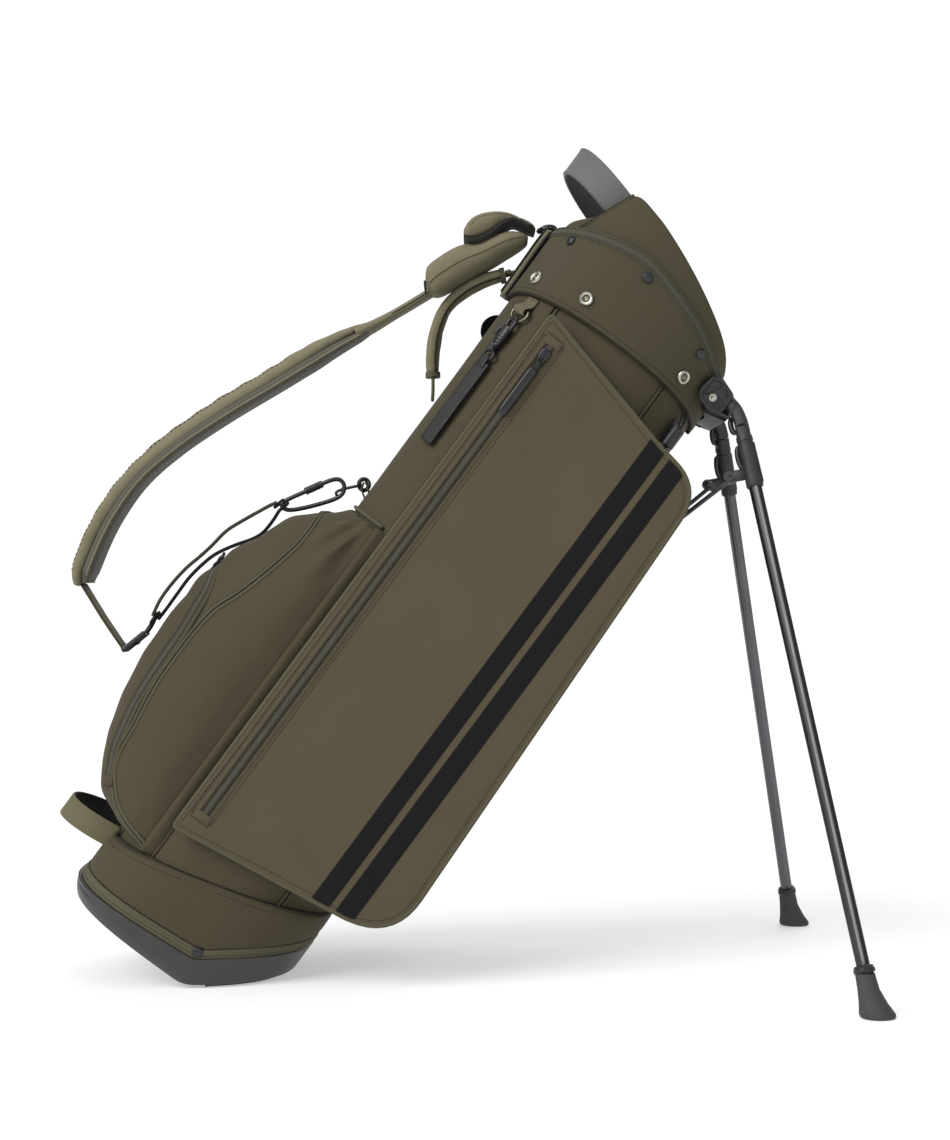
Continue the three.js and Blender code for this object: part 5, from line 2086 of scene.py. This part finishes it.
for word, side in NEAR_AND_FAR:
    run = upright(((78, 736), (62, 743), (48, 747), (34, 747), (22, 744), (14, 735)), 60, side * 29)
    flap_thread(f"yoke_flap_stitches_{word}", run)
flap_thread("yoke_cross_stitches", [floor_axes(44, y, 751) for y in np.linspace(-27, 27, 24)])
for word, side in NEAR_AND_FAR:
    mid = [p.lerp(q, 0.5) for p, q in zip(upright(SLEEVE_TOP, 40), upright(SLEEVE_LOW, 40))]
    sleeve_surface = surface_of(SLEEVE)
    pressed = []
    for p in mid[2:37]:
        hit, _, _, _ = sleeve_surface.ray_cast(p + Vector((0, side * 0.06, 0)), Vector((0, -side, 0)))
        if hit is not None:
            pressed.append(hit)
    strip(f"yoke_side_seam_{word}", pressed, circle(0.6, 6), EDGE, "coated_canvas")
strip(
    "yoke_cuff_piping",
    [
        floor_axes(-29.3, 0, 675.8) + Vector((0, 28.6 * math.cos(t), 0)) * MM
        + Vector((-0.1, 0, 1)).normalized() * (7.6 * math.sin(t)) * MM
        for t in np.linspace(0, 2 * math.pi, 49)[:-1]
    ],
    circle(1.1, 8), BLACK_WEB, "elastic_cord", normal=Vector((-0.9, 0, -0.4)), closed=True,
)

# ---------------------------------------------------------------- ring, hook and spine tape
hook_line = upright([(82.5, 733), (88, 737.5), (94, 739), (99, 738), (101, 735)], 30)
strip(
    "strap_hook_bar", hook_line, slab(9, 4.2, 2.6, 14), STEEL, "black_plastic", ["strap_hook"],
    normal=Vector((0, 0, 1)),
)
ring = []
for i in range(48):
    t = 2 * math.pi * i / 48
    ring.append(bag(-121.5 + 6.5 * math.cos(t), 13 * math.sin(t), 819 + 4.5 * math.cos(t)))
strip("strap_ring", ring, circle(1.7, 10), STEEL, "dark_steel", normal=turned(0.3, 0, 1), closed=True)

tape = along_bag([(-117.2, 0, 741), (-118.0, 0, 775), (-118.6, 0, 805), (-118.2, 0, 818)], 60)
tape_normal = turned(-1, 0, 0)
strip("spine_web", tape, slab(38, 7.0, 4, 20), PAD, "webbing", ["spine_tape"], normal=tape_normal)
for word, side in NEAR_AND_FAR:
    edge_line = [p + Vector((0, side * 17.8, 0)) * MM + tape_normal * 3.2 * MM for p in tape]
    strip(
        f"spine_web_edge_{word}", edge_line, circle(1.3, 8), BLACK_WEB, "elastic_cord",
        normal=tape_normal,
    )
    edge_line = [p + Vector((0, side * 18.6, 0)) * MM - tape_normal * 2.4 * MM for p in tape]
    strip(
        f"spine_web_fold_{word}", edge_line, circle(1.0, 8), BLACK_WEB, "elastic_cord",
        normal=tape_normal,
    )
    run = [p + Vector((0, side * 14.4, 0)) * MM + tape_normal * 3.4 * MM for p in tape]
    facing = [tape_normal] * len(tape)
    threaded(f"spine_web_stitches_{word}", run, facing, (3.2, 2.2, 0.7, 0.4))

# ---------------------------------------------------------------- grab handle
GRIP = [(50, 690.5), (32, 686), (9, 674.5), (-9, 657.5), (-19, 634), (-22.5, 610), (-22, 588)]
grip_line = upright(GRIP, 56)
rings = []
grip_normal = ACROSS.cross(Vector((0.5, 0, 0.8)))
for i, (p, (t, _, _)) in enumerate(zip(grip_line, frames_along(grip_line, grip_normal))):
    end = min(1.0, 0.8 + 0.2 * min(i, 55 - i) / 2)
    out = ACROSS.cross(t).normalized()
    section = slab(27, 12.6, 2.8, 20)
    rings.append([p + ACROSS * (x * MM * end) + out * (z * MM * end) for x, z in section])
GRAB = lofted("grab_handle_pad", rings)
puffed(GRAB, 3.2, 4.0, 1.6)


def grab_folds(p):
    return 0.35 * waves((p.x / MM, p.y / MM, p.z / MM), 16, 8.8)


moved(GRAB, grab_folds)
subdivide(GRAB)
dress(GRAB, PAD, ["grab_handle"])
for word, side in NEAR_AND_FAR:
    ridge = []
    for p, (t, _, _) in zip(grip_line[2:54], frames_along(grip_line)[2:54]):
        out = ACROSS.cross(t).normalized()
        ridge.append(p + Vector((0, side * 13.4, 0)) * MM - out * 3.4 * MM)
    strip(f"grab_piping_{word}", ridge, circle(1.0, 8), DARK_PIPING_AND_SEAM_SHADE, "coated_canvas")
web_line = upright([(-22, 590), (-22, 576), (-22.6, 565)], 20)
strip(
    "grab_web", web_line, slab(23, 3.2, 5, 16), WEB, "webbing", ["grab_webbing"],
    normal=Vector((1, 0, 0)),
)
cuffs = []
for at, k in ((grip_line[1], 1), (grip_line[-2], -2)):
    t = frames_along(grip_line)[k][0]
    out = ACROSS.cross(t).normalized()
    cuffs.append([
        [
            at + t * (h * MM) + Vector((0, x, 0)) * MM + out * (z * MM)
            for x, z in slab(29.5, 15.0, 2.8, 20)
        ]
        for h in (-2.4, -1.6, 1.6, 2.4)
    ])
dress(joined("grab_cuffs", cuffs, sharp=60), EDGE)
tab = upright([(45, 689.4), (56, 692), (66, 694.5)], 16)
strip("grab_top_tab", tab, slab(22, 3.0, 5, 14), WEB, "webbing", normal=Vector((-0.25, 0, 0.97)))
pin = placed(Vector((-0.25, 0, 0.97)), ACROSS, Vector((0.97, 0, 0.25)), floor_axes(53, -8, 693.2))
lathed(
    "grab_rivet", pin, [(3.2, -0.3), (3.2, 0.5), (2.6, 1.3), (1.2, 1.7), (0.3, 1.8)], 18, SILVER,
    "silver_metal",
)

# ---------------------------------------------------------------- carabiner and its fittings
CARABINER = [
    (-172, 463), (-150, 474), (-122, 486), (-112, 483), (-112, 473), (-122, 466), (-150, 458),
    (-168, 456),
]
ring = closed_line([floor_axes(x, 0, z) for x, z in CARABINER])
strip(
    "carabiner_wire", ring, circle(2.2, 12), STEEL, "dark_steel", ["carabiner"], normal=ACROSS,
    closed=True,
)
upper = (floor_axes(-150, 0, 474), floor_axes(-128, 0, 484))
axis = (upper[1] - upper[0]).normalized()
sleeve_place = placed(axis, ACROSS, axis.cross(ACROSS), upper[0])
profile = [(2.4, 0), (3.7, 0.4)]
for k in range(7):
    profile += [(3.9, 1.4 + 2.4 * k), (3.9, 2.6 + 2.4 * k), (3.5, 2.9 + 2.4 * k), (3.5, 3.5 + 2.4 * k)]
profile += [(3.8, 19), (2.4, 19.6)]
lathed("carabiner_sleeve", sleeve_place, profile, 20, BLACK, "black_plastic", sharp=40)
for k, (x, z) in enumerate(((-176, 462), (-171, 459)), 1):
    loop = [
        floor_axes(x + 4.2 * math.cos(t), 7.5 * math.sin(t) - 1, z + 4.2 * math.cos(t) * 0.9)
        for t in np.linspace(0, 2 * math.pi, 33)[:-1]
    ]
    strip(
        f"cord_loop_{k}", loop, circle(1.4, 8), BLACK_WEB, "elastic_cord",
        normal=Vector((1, 0, 0.4)), closed=True,
    )

wire = upright([(-93, 480.5), (-106, 478), (-115, 475.5), (-119, 473), (-118, 470)], 30)
strip("anchor_hook", wire, circle(1.5, 8), STEEL, "dark_steel")
eye = [
    floor_axes(-91 + 5.0 * math.cos(t), 1.5 * math.sin(2 * t), 481 + 5.6 * math.sin(t))
    for t in np.linspace(0, 2 * math.pi, 33)[:-1]
]
strip(
    "anchor_eye", eye, circle(2.2, 10), BLACK, "black_plastic", ["bungee_anchor"], normal=ACROSS,
    closed=True,
)
fold = upright(((-88, 452), (-90, 466), (-93, 477), (-90.5, 483.5), (-87, 478), (-86, 466)), 30)
strip("anchor_web", fold, slab(12, 1.8, 4, 12), TRIM, "webbing", normal=Vector((-1, 0, 0.2)))

# ---------------------------------------------------------------- towel ring, clip and tag
at = seat(-86, -1, 732, BODY)


def local(x, y, z):
    return at @ (Vector((x, y, z)) * MM)


def clip_line(points, count):
    """A smooth line through points in the clip's own axes, in mm."""
    return through([local(*p) for p in points], count)


OUT = (at.to_3x3() @ Vector((1, 0, 0))).normalized()
SIDE = (at.to_3x3() @ ACROSS).normalized()
D_RING = [
    (0, -10), (0, -5), (0, 0), (0, 5), (0, 10), (-5, 11.5), (-11, 7), (-13, 0), (-11, -7),
    (-5, -11.5),
]
ring = closed_line([local(4, y, z) for z, y in D_RING])
strip(
    "towel_d_ring", ring, circle(1.4, 10), OLD_BRASS, "silver_metal", ["towel_ring"], normal=OUT,
    body="towel_clip", closed=True,
)
WEB_LOOP = [
    (0.8, 0, 16), (1.6, 0, 8), (5.0, 0, 4.0), (8.4, 0, 0.4), (5.6, 0, -4.4), (1.8, 0, -1.5),
    (1.0, 0, 2),
]
webloop = clip_line(WEB_LOOP, 40)
strip("towel_web_loop", webloop, slab(17, 1.7, 4, 14), WEB, "webbing", normal=OUT)
run = clip_line([(1.6, -7, 14), (1.6, 7, 14)], 12)
threaded("towel_web_stitches", run, [OUT] * 12, (3, 2.1, 0.7, 0.5))

HOOK = [
    (5.0, 3.4, -27), (6.0, 5.6, -21), (5.8, 5.2, -14), (5.0, 0, -9.5), (4.8, -5.2, -13),
    (4.8, -5.6, -18), (4.8, -3.4, -24),
]
hook = clip_line(HOOK, 60)
strip(
    "clip_hook", hook, circle(2.2, 10), BLACK, "black_plastic", ["towel_clip"], normal=OUT,
    body="towel_clip",
)
spine = [local(5.6, 0, z) for z in np.linspace(-21, -43, 24)]


def clip_girth(t):
    return 0.66 + 0.34 * math.sin(math.pi * min(1, 0.15 + t * 0.9)) ** 0.8 + 0.05 * math.sin(t * 40)


strip(
    "clip_body", spine, slab(14.5, 9.0, 2.6, 18), BLACK, "black_plastic", normal=OUT,
    body="towel_clip", scale=clip_girth,
)
lever = clip_line([(8.4, -3, -23), (10.2, -5.2, -28), (9.6, -5.8, -34)], 12)
strip("clip_lever", lever, slab(4.0, 3.0, 2.6, 10), BLACK, "black_plastic", normal=OUT, body="towel_clip")
down = (at.to_3x3() @ Vector((0, 0, -1))).normalized()
swivel_place = placed(down, SIDE, down.cross(SIDE), local(5.6, 0, -42.5))
SWIVEL = [(2.4, 0), (5.4, 0.6), (5.7, 2.4), (3.6, 3.2), (3.6, 4.6), (5.4, 5.2), (5.1, 7.0), (2.2, 7.6)]
lathed(
    "clip_swivel", swivel_place, SWIVEL, 20, BLACK, "black_plastic", body="towel_clip", sharp=40,
)
GATE = [
    (5.2, 0, -49), (5.4, 6.4, -51), (5.2, 7.2, -56), (5.0, 0, -58.5), (4.9, -7.2, -56),
    (5.2, -6.4, -51),
]
gate = closed_line([local(*p) for p in GATE], 8)
strip(
    "clip_lower_ring", gate, circle(1.7, 8), BLACK, "black_plastic", normal=OUT, body="towel_clip",
    closed=True,
)
TAG_LOOP = [(4.0, 0, -66), (4.6, 0, -59), (7.2, 0, -55.5), (7.0, 0, -59), (6.1, 0, -68)]
strap_piece = clip_line(TAG_LOOP, 30)
strip("tag_loop", strap_piece, slab(12, 1.6, 4, 12), LEATHER, "leather", normal=OUT, body="towel_clip")

tag_line = [local(4.2 + 0.5 * math.sin(math.pi * t), 0, -62 - 95 * t) for t in np.linspace(0, 1, 40)]
tag = swept("leather_tag_strip", tag_line, slab(19, 3.2, 6, 24), OUT, "towel_clip")
dress(tag, LEATHER, ["leather_tag"])
rows = []
for y in (-7.2, 7.2):
    run = [p + SIDE * y * MM + OUT * 1.45 * MM for p in tag_line[1:-1]]
    rows += ticks(run, [OUT] * len(run), 3.0, 2.0, 0.6, 0.35)
for k in (1, -2):
    run = [tag_line[k] + SIDE * y * MM + OUT * 1.45 * MM for y in np.linspace(-7, 7, 12)]
    rows += ticks(run, [OUT] * len(run), 3.0, 2.0, 0.6, 0.35)
dress(joined("tag_stitches", rows, "towel_clip"), BLACK_WEB)

# ---------------------------------------------------------------- black tab on the spine, far side
tab = along_bag(
    [
        (-100, 40, 723), (-106, 40, 722), (-112.5, 39, 718), (-115, 39, 712), (-112, 39, 706),
        (-103, 40, 703),
    ],
    40,
)
strip("spine_tab", tab, slab(15, 2.0, 4, 12), BLACK_WEB, "elastic_cord", normal=turned(-0.7, 0.7, 0))

# ---------------------------------------------------------------- cord lock under the collar
refined("cord_lock", BLACK, 1.0)
lock = seat(92, -1, 716, BODY)
for k, y in enumerate((-2.2, 2.2), 1):
    points = ((9, y, 13), (8, y * 1.6, 22), (4, y * 1.4, 31), (2.6, y, 38))
    loop = through([lock @ (Vector(p) * MM) for p in points], 24)
    strip(f"lock_cord_{k}", loop, circle(1.2, 8), BLACK_WEB, "elastic_cord", normal=turned(0, 0, 1))
KNOT = ((9, -2.2, -6), (9.5, -3.2, -13), (9, 0, -17), (8.5, 3.2, -13), (9, 2.2, -6))
knot_line = through([lock @ (Vector(p) * MM) for p in KNOT], 30)
strip("lock_cord_end", knot_line, circle(1.2, 8), BLACK_WEB, "elastic_cord", normal=turned(0, 0, 1))

# ---------------------------------------------------------------- stand
for name, width, material in (
    ("leg_bracket", 1.2, DARK_PLASTIC),
    ("push_rod", 0.0, STEEL), ("right_link", 0.0, STEEL), ("left_link", 0.0, STEEL),
    ("rod_guide", 0.9, BLACK), ("right_leg_foot", 0.8, RUBBER), ("left_leg_foot", 0.8, RUBBER),
    ("right_stay", 0.0, BLACK), ("left_stay", 0.0, BLACK), ("right_leg_tube", 0.0, LEG_BLACK),
    ("left_leg_tube", 0.0, LEG), ("right_leg_screw", 0.0, SILVER), ("left_leg_screw", 0.0, SILVER),
):
    refined(name, material, width, 32)


def tube_axis(node):
    """Ends of a straight round node's middle line, from its own mesh."""
    pts = np.array([v.co for v in NODES[node].data.vertices])
    middle = pts.mean(axis=0)
    _, _, turn = np.linalg.svd(pts - middle, full_matrices=False)
    direction = turn[0]
    far = (pts - middle) @ direction
    ends = [Vector(middle + direction * far.min()), Vector(middle + direction * far.max())]
    return sorted(ends, key=lambda p: p.z)


def leg_head(word):
    """Gooseneck from the pivot to the tube, split sleeve with its clips, and the lug for the link."""
    body = f"{word}_leg"
    low, high = tube_axis(f"{word}_leg_tube")
    up = (high - low).normalized()
    ends = tube_axis(f"{word}_leg_screw")
    pivot = (ends[0] + ends[1]) / 2
    hinge = (ends[1] - ends[0]).normalized()
    foot = low + up * (pivot - low).dot(up)
    ahead = (foot - pivot).normalized()

    def at(x, z):
        return foot + ahead * (x * MM) + up * (z * MM)

    reach = (foot - pivot).length / MM
    bend = ((-reach - 7, 1), (-reach, 2), (-reach * 0.5, -1), (-3, -10), (0, -24), (0, -42))
    neck = through([at(x, z) for x, z in bend], 40)
    arm = swept(
        f"{word}_leg_gooseneck", neck, slab(15.5, 14.0, 3.0, 24), hinge.cross(ahead), body,
        lambda t: 1.0 - 0.06 * math.sin(math.pi * t),
    )
    dress(arm, DARK_PLASTIC, [f"{word}_leg_head"])
    turn = placed(-up, hinge, (-up).cross(hinge), foot)
    sleeve = [
        (6.3, 40), (7.6, 40.2), (8.0, 41), (8.0, 45.2), (7.3, 45.8), (7.3, 46.8), (7.9, 47.4),
        (7.7, 66), (8.0, 84), (8.3, 90), (7.9, 91.6), (6.3, 92),
    ]
    lathed(f"{word}_leg_sleeve", turn, sleeve, 32, DARK_PLASTIC, "black_plastic", body=body, sharp=40)
    rib = [at(7.9, -48), at(8.1, -66), at(8.4, -88)]
    strip(
        f"{word}_sleeve_rib", rib, slab(3.4, 1.6, 3, 10), DARK_PLASTIC, "black_plastic",
        normal=ahead, body=body,
    )
    clips = []
    for z, tall in ((-27, 9), (-60, 12)):
        hoop = [
            at(-6.6 - 3.4 * math.sin(t), z + tall * math.cos(t))
            for t in np.linspace(0.1, math.pi - 0.1, 20)
        ]
        clips.append([[p + hinge * (x * MM) + ahead * (y * MM) for x, y in circle(2.7, 8)] for p in hoop])
    dress(joined(f"{word}_sleeve_clips", clips, body), BLACK)
    arm_line = [at(-4, -77), at(-14, -76.4), at(-22, -76)]
    strip(
        f"{word}_link_lug", arm_line, slab(8.6, 11.0, 3.0, 16), DARK_PLASTIC, "black_plastic",
        normal=up, body=body,
    )
    eye = placed(hinge, up, hinge.cross(up), at(-22, -76) - hinge * 4.3 * MM)
    boss = [(2.0, 0.2), (5.0, 0.2), (5.6, 0.9), (5.6, 7.8), (5.0, 8.5), (2.0, 8.5)]
    lathed(f"{word}_lug_eye", eye, boss, 24, DARK_PLASTIC, "black_plastic", body=body, sharp=40)


leg_head("right")
leg_head("left")

# Moulded rim and ribs on the bracket's two cheeks, and a boss at each pivot.
CHEEK_RIBS = (((99, 771), (109, 789)), ((109, 789), (118, 781)), ((99, 778), (110, 770)))
CHEEK = [(95, 771), (97, 788), (107, 791), (129, 781), (131.5, 766), (113, 762), (100, 765)]
for word, side in SIDES:
    corners = [bag(b, side * 80.2, a) for b, a in CHEEK]
    line = [p.lerp(q, t / 4) for p, q in zip(corners, corners[1:] + corners[:1]) for t in range(4)]
    strip(
        f"{word}_cheek_rim", line, slab(3.0, 3.0, 3, 10), DARK_PLASTIC, "black_plastic",
        normal=ACROSS, closed=True,
    )
    for k, (start, end) in enumerate(CHEEK_RIBS, 1):
        rib = [
            bag(b, side * 80.3, a)
            for b, a in (start, ((start[0] + end[0]) / 2, (start[1] + end[1]) / 2), end)
        ]
        strip(
            f"{word}_cheek_rib_{k}", rib, slab(2.0, 2.2, 3, 8), DARK_PLASTIC, "black_plastic",
            normal=ACROSS,
        )
    hub_centre = bag(114.3, side * 79.6, 772.1)
    hub = placed(Vector((0, side, 0)), turned(0, 0, 1), turned(-side, 0, 0), hub_centre)
    boss = [(6.2, 0), (6.2, 1.2), (5.6, 1.8), (4.6, 1.8), (4.4, 1.2), (0.3, 1.2)]
    lathed(f"{word}_pivot_boss", hub, boss, 28, DARK_PLASTIC, "black_plastic", sharp=40)

for word, side in SIDES:
    low, high = tube_axis(f"{word}_leg_tube")
    along = (high - low).normalized()
    # A raised line down each leg on its side towards -y; on the right leg it is light grey, a painted
    # highlight.
    near = Vector((0, -1, 0))
    face = (near - along * near.dot(along)).normalized()
    line = [low.lerp(high, t) + face * 6.0 * MM for t in np.linspace(0.05, 0.99, 40)]
    strip(
        f"{word}_leg_line", line, [(-1.6, -0.8), (-1.2, 0.35), (0, 0.5), (1.2, 0.35), (1.6, -0.8)],
        NEAR_LEG_HIGHLIGHT if word == "right" else LEG, "leg_metal", normal=face, body=f"{word}_leg",
    )
    cross = along.cross(ACROSS).normalized()
    ring = placed(along, cross, along.cross(cross), low + along * 27 * MM)
    cuff = [(6.3, -2), (9.6, -1.6), (10.0, 0), (9.7, 2.2), (9.0, 2.8), (9.0, 4.2), (8.0, 5.0), (6.3, 5.2)]
    lathed(f"{word}_foot_collar", ring, cuff, 28, BLACK, "rubber", body=f"{word}_leg", sharp=40)
    screw_low, screw_high = sorted(tube_axis(f"{word}_leg_screw"), key=lambda p: p.y)
    for label, end, other in (("near", screw_low, screw_high), ("far", screw_high, screw_low)):
        x = (end - other).normalized()
        y = x.cross(Vector((0, 0, 1))).normalized()
        cap = placed(x, y, x.cross(y), end)
        head = [(3.0, -0.4), (4.3, -0.2), (4.3, 0.8), (3.6, 1.3), (2.0, 1.3), (1.8, 0.3), (0.2, 0.2)]
        # The caps are in the dimmed silver: painted shade against the lamp highlight.
        lathed(f"{word}_screw_cap_{label}", cap, head, 24, SILVER_DIMMED, "silver_metal", sharp=35)

# ---------------------------------------------------------------- studio
world = bpy.data.worlds.new("studio")
bpy.context.scene.world = world
world.use_nodes = True
tree = world.node_tree
tree.nodes.clear()
# The world lights the bag weakly, and the camera sees it white.
path = tree.nodes.new("ShaderNodeLightPath")
fill, seen = tree.nodes.new("ShaderNodeBackground"), tree.nodes.new("ShaderNodeBackground")
fill.inputs["Color"].default_value = (1, 1, 1, 1)
fill.inputs["Strength"].default_value = 0.27
seen.inputs["Color"].default_value = (1, 1, 1, 1)
seen.inputs["Strength"].default_value = 1.05
pick = tree.nodes.new("ShaderNodeMixShader")
out = tree.nodes.new("ShaderNodeOutputWorld")
tree.links.new(path.outputs["Is Camera Ray"], pick.inputs[0])
tree.links.new(fill.outputs[0], pick.inputs[1])
tree.links.new(seen.outputs[0], pick.inputs[2])
tree.links.new(pick.outputs[0], out.inputs[0])


def sun(name, where, strength, spread, color=(1, 1, 1)):
    """Even light from the direction of a point, softened over an angle in degrees."""
    data = bpy.data.lights.new(name, "SUN")
    data.energy = strength
    data.angle = math.radians(spread)
    data.color = color
    obj = link(bpy.data.objects.new(name, data))
    obj.location = where
    obj.rotation_euler = (-Vector(where)).to_track_quat("-Z", "Y").to_euler()


sun("key", (-1.9, -1.6, 2.0), 2.7, 40, (1.0, 0.99, 0.97))
sun("top", (0.1, 0.1, 2.8), 0.9, 70)
sun("rear", (0.9, 2.6, 1.5), 0.8, 50)
sun("side", (1.6, -2.6, 0.9), 0.35, 60, (0.97, 0.98, 1.0))

floor_mesh = bpy.data.meshes.new("floor")
FAR = 30.0
floor_mesh.from_pydata([(-FAR, -FAR, 0), (FAR, -FAR, 0), (FAR, FAR, 0), (-FAR, FAR, 0)], [], [(0, 1, 2, 3)])
floor = link(bpy.data.objects.new("floor", floor_mesh))
floor.location.z = -0.0004
n = Nodes("floor_white")
tone = n.noise(n.new("ShaderNodeTexCoord").outputs["Object"], 3.0, 2.0)
white = n.mix(tone, (0.58, 0.58, 0.58, 1), (0.60, 0.60, 0.60, 1))
floor_mesh.materials.append(n.finish(white, 0.9, Emission_Color=(1, 1, 1, 1), Emission_Strength=0.41))
floor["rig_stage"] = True

view_settings = bpy.context.scene.view_settings
view_settings.view_transform = "Standard"
view_settings.look = "None"
view_settings.exposure = 0.0

# ---------------------------------------------------------------- size, and the end
low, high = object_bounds()
